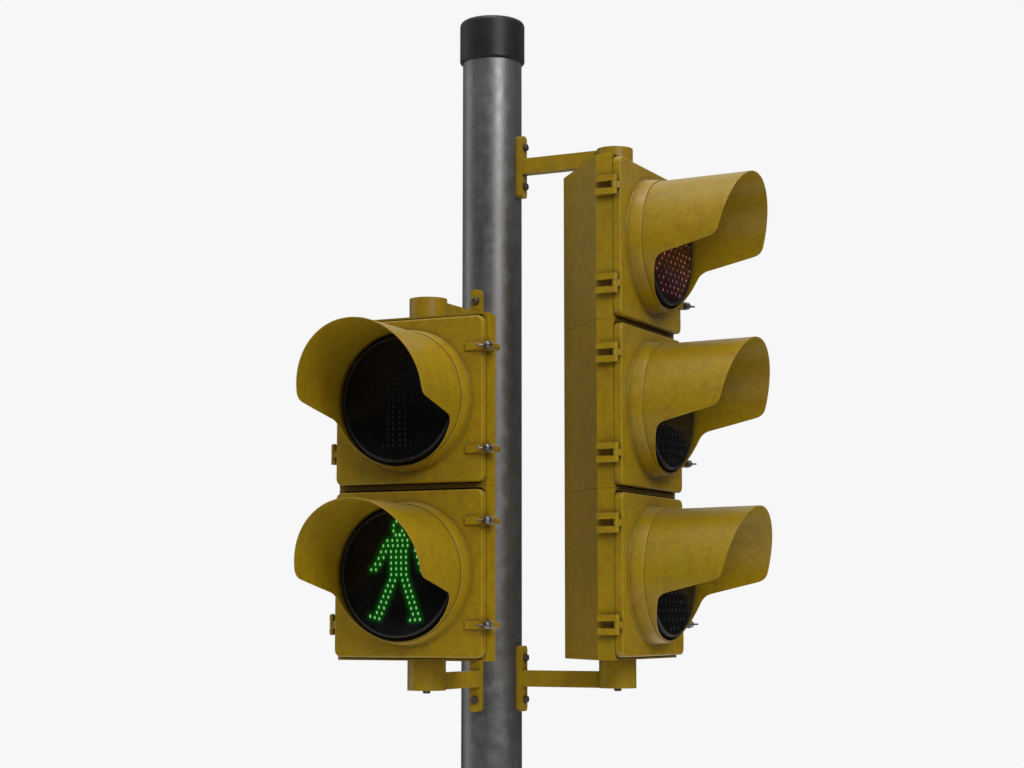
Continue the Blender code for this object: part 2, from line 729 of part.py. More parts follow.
def build_brackets(head, turn, sections, paint, dark_steel):
    """The two arms of a head, with their plate bolts and hub studs."""
    wall = HOUSING_WALL + CLEARANCE * 2
    top = sections * SECTION_HEIGHT
    lower_hub = -LOWER_BOSS - CLEARANCE
    upper_hub = top + UPPER_BOSS + CLEARANCE
    half_bar = ARM_HEIGHT / 2
    top_fall_at_hub = TOP_FALL * (HUB_FLANGE_RADIUS - PARTING_Y) / (BACK_Y - PARTING_Y)
    arms = {
        "upper": (
            upper_hub + half_bar,
            (-half_bar, half_bar),
            (top - top_fall_at_hub - wall, upper_hub + ARM_HEIGHT + 0.004),
        ),
        "lower": (
            lower_hub - LOWER_HUB_HEIGHT + half_bar,
            (-half_bar, LOWER_HUB_HEIGHT - half_bar),
            (wall, lower_hub - LOWER_HUB_HEIGHT - 0.0065),
        ),
    }
    for level, (bar_z, hub_span, stud_span) in arms.items():
        carrier = pivot(f"{head}_{level}_bracket", (0, 0, HEAD_BOTTOM + bar_z), turn=turn)
        place(f"{head}_{level}_arm", arm_mesh(*hub_span), paint, carrier)
        for name, step in (("low", -0.5), ("high", 0.5)):
            location = (0, 0, step * PLATE_BOLT_SPACING)
            place(f"{head}_{level}_plate_bolt_{name}", plate_bolt_mesh(), dark_steel, carrier, location)
        stud = hub_bolt_mesh(*stud_span)
        place(f"{head}_{level}_hub_stud", stud, dark_steel, carrier, (0, -HUB_OFFSET, -bar_z))


def build_head(head, turn, lamps, materials):
    """A head's sections from the bottom up, each with its casing, door, visor, lamp and fittings."""
    angle = math.radians(turn)
    hub = (HUB_OFFSET * math.sin(angle), -HUB_OFFSET * math.cos(angle), HEAD_BOTTOM)
    swivel = pivot(f"{head}_swivel", hub, turn=turn)
    door = door_mesh()
    visor = visor_mesh()
    lamp = lamp_mesh()
    pin = pin_mesh()
    screw = wing_screw_mesh()
    for level, name in enumerate(lamps):
        base = level * SECTION_HEIGHT
        is_bottom, is_top = level == 0, level == len(lamps) - 1
        place(f"{name}_housing", housing_mesh(is_top, is_bottom), materials["paint"], swivel, (0, 0, base))
        for label, height in zip(("lower", "upper"), FITTING_HEIGHTS):
            location = (HINGE_X, HINGE_Y, base + height)
            place(f"{name}_{label}_hinge_pin", pin, materials["steel"], swivel, location)
        hinge = pivot(f"{name}_door_hinge", (HINGE_X, HINGE_Y, base), swivel)
        back = (-HINGE_X, -HINGE_Y, 0)
        place(f"{name}_door", door, materials["paint"], hinge, back)
        place(f"{name}_visor", visor, materials["paint"], hinge, back)
        place(f"{name}_lamp", lamp, materials["lens"], hinge, back)
        for label, height in zip(("lower", "upper"), FITTING_HEIGHTS):
            location = (SCREW_X - HINGE_X, -HINGE_Y, height)
            place(f"{name}_{label}_wing_screw", screw, materials["steel"], hinge, location)


def main():
    clear_scene()
    paint = make_material("signal_yellow_paint", (0.28, 0.19, 0.02), 0.55, 0.0)
    galvanised = make_material("galvanised_steel", (0.35, 0.34, 0.31), 0.55, 0.8)
    plastic = make_material("black_plastic", (0.02, 0.02, 0.02), 0.6, 0.0)
    steel = make_material("zinc_steel", (0.45, 0.45, 0.45), 0.35, 1.0)
    dark_steel = make_material("weathered_steel", (0.10, 0.09, 0.08), 0.6, 0.8)
    lens = make_material("dark_lens", (0.01, 0.01, 0.01), 0.2, 0.0)
    materials = {"paint": paint, "steel": steel, "lens": lens}
    build_pole(galvanised, plastic, dark_steel)
    build_brackets("pedestrian", 0, 2, paint, dark_steel)
    build_brackets("vehicle", 90, 3, paint, dark_steel)
    build_head("pedestrian", 0, ("walk", "stand"), materials)
    build_head("vehicle", 90, ("green", "amber", "red"), materials)


main()
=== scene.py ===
"""Looks of the post-mounted street signal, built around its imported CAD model.

A signal section is made once in its own frame, in metres: the hub axis at X = Y = 0, Z = 0 at its underside,
facing -Y, with hinges at -X and wing screws at +X. Copies of it then move to where the CAD model has them.
"""
import json
import math

import bmesh
import bpy
from mathutils import Matrix, Vector, noise

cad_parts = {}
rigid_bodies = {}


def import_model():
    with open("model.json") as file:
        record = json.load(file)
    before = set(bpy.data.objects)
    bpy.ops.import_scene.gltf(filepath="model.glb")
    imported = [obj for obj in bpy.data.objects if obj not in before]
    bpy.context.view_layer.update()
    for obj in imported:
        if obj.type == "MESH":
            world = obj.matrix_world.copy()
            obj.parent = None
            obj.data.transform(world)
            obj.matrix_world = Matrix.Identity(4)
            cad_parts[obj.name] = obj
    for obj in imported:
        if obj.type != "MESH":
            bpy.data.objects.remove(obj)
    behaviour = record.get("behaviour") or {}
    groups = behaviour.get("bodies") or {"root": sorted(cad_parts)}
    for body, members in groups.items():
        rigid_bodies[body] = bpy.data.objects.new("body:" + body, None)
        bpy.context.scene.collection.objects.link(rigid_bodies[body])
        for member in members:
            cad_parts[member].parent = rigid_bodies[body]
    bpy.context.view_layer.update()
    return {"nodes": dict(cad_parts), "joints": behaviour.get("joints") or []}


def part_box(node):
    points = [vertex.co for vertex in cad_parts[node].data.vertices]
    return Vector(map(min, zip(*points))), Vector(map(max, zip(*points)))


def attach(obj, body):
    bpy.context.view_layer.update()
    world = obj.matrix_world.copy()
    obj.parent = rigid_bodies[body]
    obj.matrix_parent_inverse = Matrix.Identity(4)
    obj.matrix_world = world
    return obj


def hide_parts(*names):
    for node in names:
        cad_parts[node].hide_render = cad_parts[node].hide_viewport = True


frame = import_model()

# Section sizes, as in the CAD model
SECTION = 0.3556
GAP = 0.0006
CLEAR = 0.0003
HALF_WIDTH = 0.1735
WALL = 0.004
PARTING = -0.0675
SHOULDER = -0.0297
BACK = 0.1080
BACK_HALF = 0.035
TOP_FALL = 0.014
DOOR_HALF = 0.1722
DOOR_LOW = 0.0065
DOOR_HIGH = SECTION - 0.0085
DOOR_THICK = 0.0184
DOOR_CORNER = 0.015
FACE = PARTING - CLEAR - DOOR_THICK
LENS_Z = SECTION / 2
BEZEL_FRONT = 0.033
BORE = 0.1410
VISOR_R = 0.1400
VISOR_WALL = 0.0020
VISOR_START = 0.0190
VISOR_FLARE = 0.0160
VISOR_SIDE = ((0.2425, 0.1430), (0.2015, -0.0100), (0.0625, -0.0430), (0.0365, -0.1250), (0.0360, -0.1450))
FITTINGS = (0.0730, 0.2828)
HINGE = (-0.1825, PARTING - 0.0085)
HINGE_HALF = 0.0206
LUG = 0.0132
LUG_R = 0.0062
LUG_DEPTH = 0.0330
KNUCKLE_R = 0.0059
PIN_R = 0.0030
SCREW_X = 0.1875
STRAP_IN = 0.1340
STRAP_OUT = 0.1965
STRAP_HALF = 0.0085
STRAP_PROUD = 0.0040
EAR = 0.0140
HUB_R = 0.0400
UPPER_BOSS = 0.0110
LOWER_BOSS = 0.0137
CORNER_WEB = 0.0220
PASSAGE = 0.030
STUD_HOLE = 0.0088
LENS_R = 0.1246
LENS_BACK = 0.0300
DOME_FOOT = 0.0006
DOME_SIDES = 12
TERMINAL_WAYS = 7

# Post and bracket sizes
POLE_R = 0.0670
HUB_OFFSET = 0.302
BAR_HALF = 0.0175
LOWER_HUB = 0.0480
PLATE_BACK = -0.0815
BOLT_STEP = 0.045
COVER_SCREW_Z = 0.5

HEADS = {
    "pedestrian": (("walk", "stand"), 0.0),
    "vehicle": (("green", "amber", "red"), 90.0),
}


# Meshes

def finished(bm, name="mesh"):
    bmesh.ops.recalc_face_normals(bm, faces=bm.faces)
    mesh = bpy.data.meshes.new(name)
    bm.to_mesh(mesh)
    bm.free()
    return mesh


def loft(rings, cap_start=True, cap_end=True, closed=False):
    """Faces between rings that have the same number of points."""
    bm = bmesh.new()
    rows = [[bm.verts.new(point) for point in ring] for ring in rings]
    pairs = list(zip(rows, rows[1:] + rows[:1] if closed else rows[1:]))
    for a, b in pairs:
        for i in range(len(a)):
            j = (i + 1) % len(a)
            bm.faces.new((a[i], a[j], b[j], b[i]))
    if cap_start and not closed:
        bm.faces.new(rows[0])
    if cap_end and not closed:
        bm.faces.new(rows[-1])
    return finished(bm)


def prism(outline, low, high, axis="Z"):
    put = {
        "Z": lambda a, b, c: (a, b, c),
        "X": lambda a, b, c: (c, a, b),
        "Y": lambda a, b, c: (a, c, b),
    }[axis]
    return loft([[put(a, b, low) for a, b in outline], [put(a, b, high) for a, b in outline]])


def box(low, high):
    (x0, y0, z0), (x1, y1, z1) = low, high
    return prism([(x0, y0), (x1, y0), (x1, y1), (x0, y1)], z0, z1)


def turned(profile, sides=96, axis="Z", place=(0, 0, 0)):
    """A ring, or a solid whose profile starts and ends on the axis, from (radius, height) points."""
    bm = bmesh.new()
    rows = []
    for radius, height in profile:
        if radius < 1e-6:
            rows.append([bm.verts.new((0, 0, height))])
            continue
        row = []
        for i in range(sides):
            angle = 2 * math.pi * i / sides
            row.append(bm.verts.new((radius * math.cos(angle), radius * math.sin(angle), height)))
        rows.append(row)
    solid = len(rows[0]) == 1
    for a, b in zip(rows, rows[1:] if solid else rows[1:] + rows[:1]):
        for i in range(sides):
            j = (i + 1) % sides
            corners = [a[i % len(a)], a[j % len(a)], b[j % len(b)], b[i % len(b)]]
            bm.faces.new(list(dict.fromkeys(corners)))
    mesh = finished(bm)
    tilt = {"Z": 0, "-Y": math.pi / 2, "Y": -math.pi / 2}[axis]
    mesh.transform(Matrix.Translation(place) @ Matrix.Rotation(tilt, 4, "X"))
    return mesh


def rod(radius, start, end, sides=32):
    start, end = Vector(start), Vector(end)
    axis = end - start
    mesh = turned([(0, 0), (radius, 0), (radius, axis.length), (0, axis.length)], sides)
    mesh.transform(Matrix.Translation(start) @ axis.to_track_quat("Z", "Y").to_matrix().to_4x4())
    return mesh


def arc(cx, cy, radius, start, end, steps):
    points = []
    for i in range(steps + 1):
        angle = math.radians(start + (end - start) * i / steps)
        points.append((cx + radius * math.cos(angle), cy + radius * math.sin(angle)))
    return points


def rounded_rectangle(half, low, high, radius, steps=8):
    x, bottom, top = half - radius, low + radius, high - radius
    outline = []
    for cx, cz, start in ((x, bottom, -90), (x, top, 0), (-x, top, 90), (-x, bottom, 180)):
        outline += arc(cx, cz, radius, start, start + 90, steps)
    return outline


def inset(outline, by):
    """The closed outline moved inwards, with mitred corners. It runs anticlockwise."""
    points = [Vector(p) for p in outline]
    moved = []
    for i, here in enumerate(points):
        before = (here - points[i - 1]).normalized()
        after = (points[(i + 1) % len(points)] - here).normalized()
        n1, n2 = Vector((-before.y, before.x)), Vector((-after.y, after.x))
        moved.append(tuple(here + (n1 + n2) * (by / (1 + n1.dot(n2)))))
    return moved


def applied(mesh, *modifiers):
    """The mesh after modifiers, each given as (type, settings)."""
    shape = bpy.data.objects.new("shape", mesh)
    bpy.context.scene.collection.objects.link(shape)
    for kind, settings in modifiers:
        modifier = shape.modifiers.new(kind, kind)
        for key, value in settings.items():
            setattr(modifier, key, value)
    bpy.context.view_layer.update()
    made = bpy.data.meshes.new_from_object(shape.evaluated_get(bpy.context.evaluated_depsgraph_get()))
    bpy.data.objects.remove(shape)
    return made


def combined(body, others, operation):
    tools = []
    for other in others:
        tool = bpy.data.objects.new("tool", other)
        bpy.context.scene.collection.objects.link(tool)
        tools.append(tool)
    cuts = [("BOOLEAN", {"operation": operation, "solver": "EXACT", "object": tool}) for tool in tools]
    made = applied(body, *cuts)
    for tool in tools:
        bpy.data.objects.remove(tool)
    return made


def join(body, *others):
    return combined(body, others, "UNION")


def cut(body, *others):
    return combined(body, others, "DIFFERENCE")


def bevelled(mesh, width, segments=3, angle=30):
    settings = {
        "width": width,
        "segments": segments,
        "limit_method": "ANGLE",
        "angle_limit": math.radians(angle),
        "miter_outer": "MITER_ARC",
        "use_clamp_overlap": True,
    }
    return applied(mesh, ("BEVEL", settings))


def merged(*meshes):
    """Separate closed shells in one mesh."""
    bm = bmesh.new()
    for mesh in meshes:
        bm.from_mesh(mesh)
    made = bpy.data.meshes.new("merged")
    bm.to_mesh(made)
    bm.free()
    return made


# Materials

class Shader:
    """A Principled material whose nodes are added by short calls."""

    def __init__(self, name, **sockets):
        self.material = bpy.data.materials.new(name)
        self.material.use_nodes = True
        self.tree = self.material.node_tree
        self.base = self.tree.nodes["Principled BSDF"]
        self.set(self.base, sockets)
        self.coords = self.add("TexCoord").outputs["Object"]

    def set(self, node, sockets):
        for key, value in sockets.items():
            socket = node.inputs[key if isinstance(key, int) else key.replace("_", " ")]
            if isinstance(value, bpy.types.NodeSocket):
                self.tree.links.new(value, socket)
            else:
                socket.default_value = value

    def add(self, kind, sockets=None, **settings):
        node = self.tree.nodes.new("ShaderNode" + kind)
        for key, value in settings.items():
            setattr(node, key, value)
        self.set(node, sockets or {})
        return node

    def noise(self, scale, detail=3.0, roughness=0.55, stretch=(1, 1, 1), offset=0.0):
        moved = {"Vector": self.coords, "Scale": stretch, "Location": (offset, offset, offset)}
        place = self.add("Mapping", moved)
        sockets = {"Vector": place.outputs[0], "Scale": scale, "Detail": detail, "Roughness": roughness}
        return self.add("TexNoise", sockets).outputs["Fac"]

    def ramp(self, value, *stops):
        """A colour ramp from (position, grey or colour) stops."""
        node = self.add("ValToRGB", {"Fac": value})
        elements = node.color_ramp.elements
        while len(elements) < len(stops):
            elements.new(0.5)
        for element, (position, colour) in zip(elements, stops):
            element.position = position
            element.color = (*colour, 1) if isinstance(colour, tuple) else (colour, colour, colour, 1)
        return node.outputs["Color"]

    def mix(self, factor, a, b, blend="MIX"):
        node = self.add("Mix", data_type="RGBA", blend_type=blend)
        a, b = [(*colour, 1) if isinstance(colour, tuple) else colour for colour in (a, b)]
        self.set(node, {0: factor, 6: a, 7: b})
        return node.outputs[2]

    def math(self, operation, a, b=0.5):
        node = self.add("Math", operation=operation)
        self.set(node, {0: a, 1: b})
        return node.outputs[0]

    def bump(self, *layers):
        """Bumps from (height, distance, strength) layers, the coarsest first."""
        normal = None
        for height, distance, strength in layers:
            sockets = {"Height": height, "Distance": distance, "Strength": strength}
            if normal:
                sockets["Normal"] = normal
            normal = self.add("Bump", sockets).outputs[0]
        self.set(self.base, {"Normal": normal})

    def geometry(self, output):
        return self.add("NewGeometry").outputs[output]

    def painted_corner_shade(self, reach=0.014):
        """How far inside a corner or gap a surface is, from 0 in the open to 1: the mask for painted shade.
        """
        node = self.add("AmbientOcclusion", {"Distance": reach}, samples=4)
        return self.ramp(node.outputs["AO"], (0.40, 1.0), (0.92, 0.0))

    def edge_wear_and_highlight_mask(self, reach=0.0016):
        """How close to an outside edge a surface is, from 0 on the flat to 1: the mask for worn paint and a
        painted highlight along edges.
        """
        node = self.add("AmbientOcclusion", {"Distance": reach}, samples=4, only_local=True, inside=True)
        return self.ramp(node.outputs["AO"], (0.40, 1.0), (0.90, 0.0))

    def facing_up(self, low, high):
        """How far a surface faces up, from 0 at the first value of its normal's Z to 1 at the second."""
        split = self.add("SeparateXYZ", {"Vector": self.geometry("Normal")})
        return self.ramp(split.outputs["Z"], (low, 0.0), (high, 1.0))


def signal_yellow():
    """Old road-sign paint on cast aluminium: mottled ochre, pale at edges from wear and a painted highlight,
    darkened by painted shade in corners and gaps, dusty on top.
    """
    s = Shader("signal_yellow", Specular_IOR_Level=0.28)
    cloud = s.noise(5.0, 4.0, 0.6)
    mottle = s.noise(38.0, 5.0, 0.65, offset=3.1)
    streak = s.noise(9.0, 4.0, 0.6, stretch=(5, 5, 0.45), offset=1.7)
    grain = s.noise(420.0, 3.0, 0.6)
    patch = s.noise(120.0, 4.0, 0.65, offset=9.4)
    colour = s.mix(s.ramp(cloud, (0.36, 0.0), (0.64, 1.0)), (0.245, 0.163, 0.004), (0.285, 0.176, 0.004))
    colour = s.mix(s.ramp(mottle, (0.46, 0.0), (0.68, 0.80)), colour, (0.222, 0.118, 0.005))
    colour = s.mix(s.ramp(patch, (0.52, 0.0), (0.68, 0.60)), colour, (0.335, 0.220, 0.008))
    colour = s.mix(s.ramp(streak, (0.52, 0.0), (0.74, 0.50)), colour, (0.190, 0.144, 0.006))
    colour = s.mix(s.ramp(grain, (0.60, 0.0), (0.80, 0.35)), colour, (0.140, 0.085, 0.004))
    # Worn paint and a painted highlight: outside edges turn a paler yellow.
    edge_wear_and_highlight = s.math("MULTIPLY", s.edge_wear_and_highlight_mask(), s.ramp(mottle, (0.35, 0.0), (0.65, 0.28)))
    colour = s.mix(edge_wear_and_highlight, colour, (0.350, 0.255, 0.040))
    # Painted shade: the paint turns dark brown in corners and in the gaps between parts.
    colour = s.mix(s.math("MULTIPLY", s.painted_corner_shade(), 0.80), colour, (0.070, 0.042, 0.006))
    dust = s.math("MULTIPLY", s.facing_up(0.80, 1.0), s.ramp(mottle, (0.3, 0.20), (0.7, 0.50)))
    colour = s.mix(dust, colour, (0.330, 0.270, 0.150))
    rust = s.add("Attribute", attribute_name="rust").outputs["Fac"]
    stain = s.mix(s.ramp(mottle, (0.40, 0.0), (0.62, 1.0)), (0.040, 0.022, 0.010), (0.100, 0.056, 0.018))
    colour = s.mix(s.math("MULTIPLY", rust, s.ramp(patch, (0.42, 0.10), (0.60, 1.0))), colour, stain)
    s.set(s.base, {"Base Color": colour, "Roughness": s.ramp(mottle, (0.3, 0.29), (0.7, 0.42))})
    s.bump((s.noise(60.0, 3.0, 0.5, offset=5.0), 0.0008, 0.30), (s.noise(700.0, 2.0, 0.5), 0.0002, 0.40))
    return s.material


def galvanised():
    """Dull zinc on a rolled tube: cloudy, spangled, with darker runs down its length."""
    s = Shader("galvanised", Metallic=0.85)
    cloud = s.noise(7.0, 5.0, 0.6, stretch=(1, 1, 0.5))
    runs = s.noise(8.0, 5.0, 0.6, stretch=(4, 4, 0.16), offset=2.0)
    blotch = s.noise(34.0, 4.0, 0.6, offset=4.0)
    spangle = s.add("TexVoronoi", {"Vector": s.coords, "Scale": 140.0}).outputs["Distance"]
    colour = s.mix(s.ramp(cloud, (0.35, 0.0), (0.65, 1.0)), (0.125, 0.125, 0.125), (0.175, 0.175, 0.174))
    colour = s.mix(s.ramp(runs, (0.45, 0.0), (0.70, 0.6)), colour, (0.095, 0.094, 0.091))
    colour = s.mix(s.ramp(blotch, (0.52, 0.0), (0.72, 0.35)), colour, (0.22, 0.22, 0.217))
    colour = s.mix(0.15, colour, s.ramp(spangle, (0.0, 0.30), (0.8, 0.70)), "OVERLAY")
    s.set(s.base, {"Base Color": colour, "Roughness": s.ramp(blotch, (0.3, 0.34), (0.7, 0.50))})
    s.bump((s.noise(16.0, 3.0, 0.5, offset=6.0), 0.002, 0.15), (s.noise(300.0, 3.0, 0.5), 0.0002, 0.30))
    return s.material


def black_plastic():
    s = Shader("black_plastic", Specular_IOR_Level=0.30)
    cloud = s.noise(12.0, 4.0, 0.6)
    scuff = s.noise(90.0, 4.0, 0.6, stretch=(1, 1, 0.3), offset=2.2)
    colour = s.mix(s.ramp(cloud, (0.35, 0.0), (0.65, 1.0)), (0.006, 0.006, 0.006), (0.010, 0.010, 0.0095))
    colour = s.mix(s.ramp(scuff, (0.58, 0.0), (0.74, 0.30)), colour, (0.030, 0.030, 0.029))
    s.set(s.base, {"Base Color": colour, "Roughness": s.ramp(cloud, (0.3, 0.42), (0.7, 0.55))})
    s.bump((s.noise(500.0, 2.0, 0.5), 0.0002, 0.3))
    return s.material


def rubber():
    s = Shader("gasket_rubber")
    cloud = s.noise(40.0, 4.0, 0.6)
    colour = s.mix(s.ramp(cloud, (0.35, 0.0), (0.65, 1.0)), (0.008, 0.008, 0.008), (0.022, 0.021, 0.019))
    s.set(s.base, {"Base Color": colour, "Roughness": s.ramp(cloud, (0.3, 0.65), (0.7, 0.85))})
    s.bump((s.noise(600.0, 2.0, 0.5), 0.0002, 0.4))
    return s.material


def bare_steel(name, dark, light, rust, roughness):
    """Zinc-plated or bare steel with patches of rust, and painted shade that darkens its corners."""
    s = Shader(name, Metallic=0.9)
    cloud = s.noise(90.0, 4.0, 0.6)
    patch = s.noise(160.0, 5.0, 0.7, offset=7.0)
    colour = s.mix(s.ramp(cloud, (0.35, 0.0), (0.65, 1.0)), dark, light)
    colour = s.mix(s.ramp(patch, (0.62 - rust, 0.0), (0.80 - rust, 0.8)), colour, (0.115, 0.050, 0.018))
    # Painted shade: the steel turns dark brown in corners and where other parts sit close.
    colour = s.mix(s.math("MULTIPLY", s.painted_corner_shade(0.004), 0.80), colour, (0.030, 0.018, 0.010))
    gloss = s.ramp(patch, (0.35, roughness), (0.65, roughness + 0.25))
    s.set(s.base, {"Base Color": colour, "Roughness": gloss})
    s.bump((s.noise(500.0, 3.0, 0.6), 0.0002, 0.5))
    return s.material


def lens_cover(name, light):
    """Black lens face. Its own light follows the point attribute "glow", which is strong around lit dots."""
    s = Shader(name, Specular_IOR_Level=0.22)
    smear = s.noise(14.0, 4.0, 0.6)
    clean, dirty = (0.0018, 0.0018, 0.0018), (0.0030, 0.0029, 0.0028)
    colour = s.mix(s.ramp(smear, (0.35, 0.0), (0.65, 1.0)), clean, dirty)
    glow = s.add("Attribute", attribute_name="glow").outputs["Fac"]
    s.set(s.base, {"Base Color": colour, "Roughness": s.ramp(smear, (0.3, 0.16), (0.7, 0.30))})
    if light:
        s.set(s.base, {"Emission Color": s.mix(glow, (0, 0, 0), light), "Emission Strength": 1.0})
    return s.material


def led_glass(name, colour, light):
    """The small domes over the LEDs, bright at the top of each dome."""
    s = Shader(name, Specular_IOR_Level=0.6 if light else 0.14)
    grain = s.noise(300.0, 2.0, 0.5)
    paler = tuple(c * 1.6 for c in colour)
    gloss = s.ramp(grain, (0.3, 0.20), (0.7, 0.32))
    s.set(s.base, {"Base Color": s.mix(grain, colour, paler), "Roughness": gloss})
    if light:
        core = s.add("Attribute", attribute_name="core").outputs["Fac"]
        s.set(s.base, {"Emission Color": s.mix(core, light[0], light[1]), "Emission Strength": 1.0})
    return s.material


# Section pieces, each in the section's own frame

def housing(is_top, is_bottom):
    outline = [
        (-HALF_WIDTH, PARTING),
        (HALF_WIDTH, PARTING),
        (HALF_WIDTH, SHOULDER),
        (BACK_HALF, BACK),
        (-BACK_HALF, BACK),
        (-HALF_WIDTH, SHOULDER),
    ]
    low, high = GAP / 2, SECTION - GAP / 2

    def top_of(y, level):
        fall = TOP_FALL * (y - PARTING) / (BACK - PARTING) if is_top else 0
        return level - fall

    inner = inset(outline, WALL)
    inner = [(x, y if y > PARTING + 0.01 else PARTING - 0.02) for x, y in inner]
    shell = loft([[(x, y, low) for x, y in outline], [(x, y, top_of(y, high)) for x, y in outline]])
    ceiling = [(x, y, top_of(y, high) - WALL) for x, y in inner]
    hollow = loft([[(x, y, low + WALL) for x, y in inner], ceiling])
    outer, root = HINGE[0] - LUG_R, -HALF_WIDTH + 0.002
    lug = [
        (root, PARTING + LUG_DEPTH),
        (outer, PARTING + LUG_DEPTH),
        *arc(*HINGE, LUG_R, 180, 360, 14),
        (HINGE[0] + LUG_R, PARTING + 0.0004),
        (root, PARTING + 0.0004),
    ]
    extras = []
    holes = []
    for side in (-1, 1):
        for level, up in ((low + WALL / 2, 1), (high - WALL / 2, -1)):
            x = side * (HALF_WIDTH - WALL / 2)
            web = [(x, level)]
            for t in [math.radians(15 * k) for k in range(7)]:
                along, away = CORNER_WEB * (1 - math.cos(t)), CORNER_WEB * (1 - math.sin(t))
                web.append((x - side * along, level + up * away))
            extras.append(prism(web, PARTING + 0.0004, PARTING + 0.0120, "Y"))
    for z in FITTINGS:
        extras.append(prism(lug, z - HINGE_HALF, z - HINGE_HALF + LUG))
        extras.append(prism(lug, z + HINGE_HALF - LUG, z + HINGE_HALF))
        extras.append(prism(tab(HALF_WIDTH - 0.002, z), PARTING, PARTING + EAR, "Y"))
        holes.append(rod(PIN_R + 0.0003, (*HINGE, z - 0.03), (*HINGE, z + 0.03), 16))
        holes.append(rod(0.0064, (SCREW_X, FACE, z), (SCREW_X, 0, z)))
    if is_top:
        extras.append(rod(HUB_R, (0, 0, SECTION - 0.010), (0, 0, SECTION + UPPER_BOSS), 64))
    if is_bottom:
        extras.append(rod(HUB_R, (0, 0, -LOWER_BOSS), (0, 0, 0.003), 64))
    for z, is_end in ((SECTION, is_top), (0, is_bottom)):
        holes.append(rod(STUD_HOLE if is_end else PASSAGE, (0, 0, z - 0.03), (0, 0, z + 0.03), 48))
    return rusted(bevelled(cut(join(cut(shell, hollow), *extras), *holes), 0.0012, 3))


def rusted(mesh):
    """Marks where rust has run from the wing screws, in the point attribute "rust"."""
    bm = bmesh.new()
    bm.from_mesh(mesh)
    cuts = [((0, PARTING + step, 0), (0, 1, 0)) for step in (0.0020, 0.0070, 0.0120, 0.0180)]
    steps_down = (0.0095, 0.016, 0.026, 0.040, 0.060, -0.0095)
    cuts += [((0, 0, z - step), (0, 0, 1)) for z in FITTINGS for step in steps_down]

    def on_side(face):
        return face.normal.x > 0.9 and abs(face.calc_center_median().x - HALF_WIDTH) < 0.0005

    for place, normal in cuts:
        sides = [face for face in bm.faces if on_side(face)]
        edges = list({edge for face in sides for edge in face.edges})
        vertices = list({vertex for face in sides for vertex in face.verts})
        bmesh.ops.bisect_plane(bm, geom=sides + edges + vertices, plane_co=place, plane_no=normal)
    rust = bm.verts.layers.float.new("rust")
    for vertex in bm.verts:
        x, y, z = vertex.co
        below = min(((level - z) for level in FITTINGS if z < level + STRAP_HALF + 0.0005), default=1.0)
        if abs(x - HALF_WIDTH) < 0.0005:
            if below > 0:
                across = max(0.0, 1 - abs(y - PARTING - 0.007) / 0.012)
                vertex[rust] = 0.8 * across * max(0.0, 1 - below / 0.060)
        elif below < STRAP_HALF + 0.0005:
            vertex[rust] = 0.7 * max(0.0, min(1.0, (x - 0.1780) / 0.0150)) ** 2
    made = bpy.data.meshes.new("rusted")
    bm.to_mesh(made)
    bm.free()
    return made


def tab(root, z):
    """A lug around a wing screw, with a round end."""
    reach = STRAP_OUT - STRAP_HALF
    return [(root, z - STRAP_HALF), *arc(reach, z, STRAP_HALF, -90, 90, 12), (root, z + STRAP_HALF)]


def door():
    low, high = DOOR_LOW, DOOR_HIGH
    edge = 0.0042
    rings = []
    back = PARTING - CLEAR
    section = [(back, 0.0006), (back - 0.0006, 0.0)]
    for t in [math.radians(15 * k) for k in range(7)]:
        section.append((FACE + edge * (1 - math.sin(t)), edge * (1 - math.cos(t))))
    for y, by in section:
        outline = rounded_rectangle(DOOR_HALF - by, low + by, high - by, DOOR_CORNER - by)
        rings.append([(x, y, z) for x, z in outline])
    tray = loft(rings)
    hollow = rounded_rectangle(DOOR_HALF - WALL, low + WALL, high - WALL, DOOR_CORNER - WALL)
    recess = prism(hollow, FACE + WALL, PARTING + 0.02, "Y")
    opening = turned([(0, -0.03), (0.144, -0.03), (0.144, 0.03), (0, 0.03)], 128, "-Y", (0, FACE, LENS_Z))
    h = BEZEL_FRONT
    bezel = turned(
        [
            (0.1406, h - 0.0006), (0.1410, h), (0.1416, h), (0.1422, h - 0.0005), (0.1427, h - 0.0016),
            (0.1434, 0.027), (0.1441, 0.022), (0.1448, 0.016), (0.1454, 0.010), (0.1459, 0.004),
            (0.1463, 0.0012), (0.1470, 0.0002), (0.1490, -0.0006), (0.1490, -0.0030), (BORE, -0.0030),
            (BORE, 0.0140), (0.1325, 0.0140), (0.1325, 0.0185), (0.1406, 0.0185),
        ],
        128,
        "-Y",
        (0, FACE, LENS_Z),
    )
    additions = [bezel]
    half = HINGE_HALF - LUG - 0.0004
    root = -DOOR_HALF + 0.003
    knuckle = [(root, FACE + 0.0010), (HINGE[0] + KNUCKLE_R, FACE + 0.0010)]
    knuckle += arc(*HINGE, KNUCKLE_R, 300, 90, 14) + [(root, HINGE[1] + KNUCKLE_R)]
    holes = []
    for z in FITTINGS:
        additions.append(prism(knuckle, z - half, z + half))
        strap = prism(tab(STRAP_IN, z), FACE - STRAP_PROUD, FACE + 0.001, "Y")
        block = prism(tab(DOOR_HALF - 0.003, z), FACE, PARTING - CLEAR, "Y")
        additions += [bevelled(strap, 0.0010), block]
        holes.append(rod(PIN_R + 0.0003, (*HINGE, z - 0.03), (*HINGE, z + 0.03), 16))
        holes.append(rod(0.0058, (SCREW_X, FACE - 0.02, z), (SCREW_X, 0, z)))
    return rusted(cut(join(cut(tray, recess, opening), *additions), *holes))


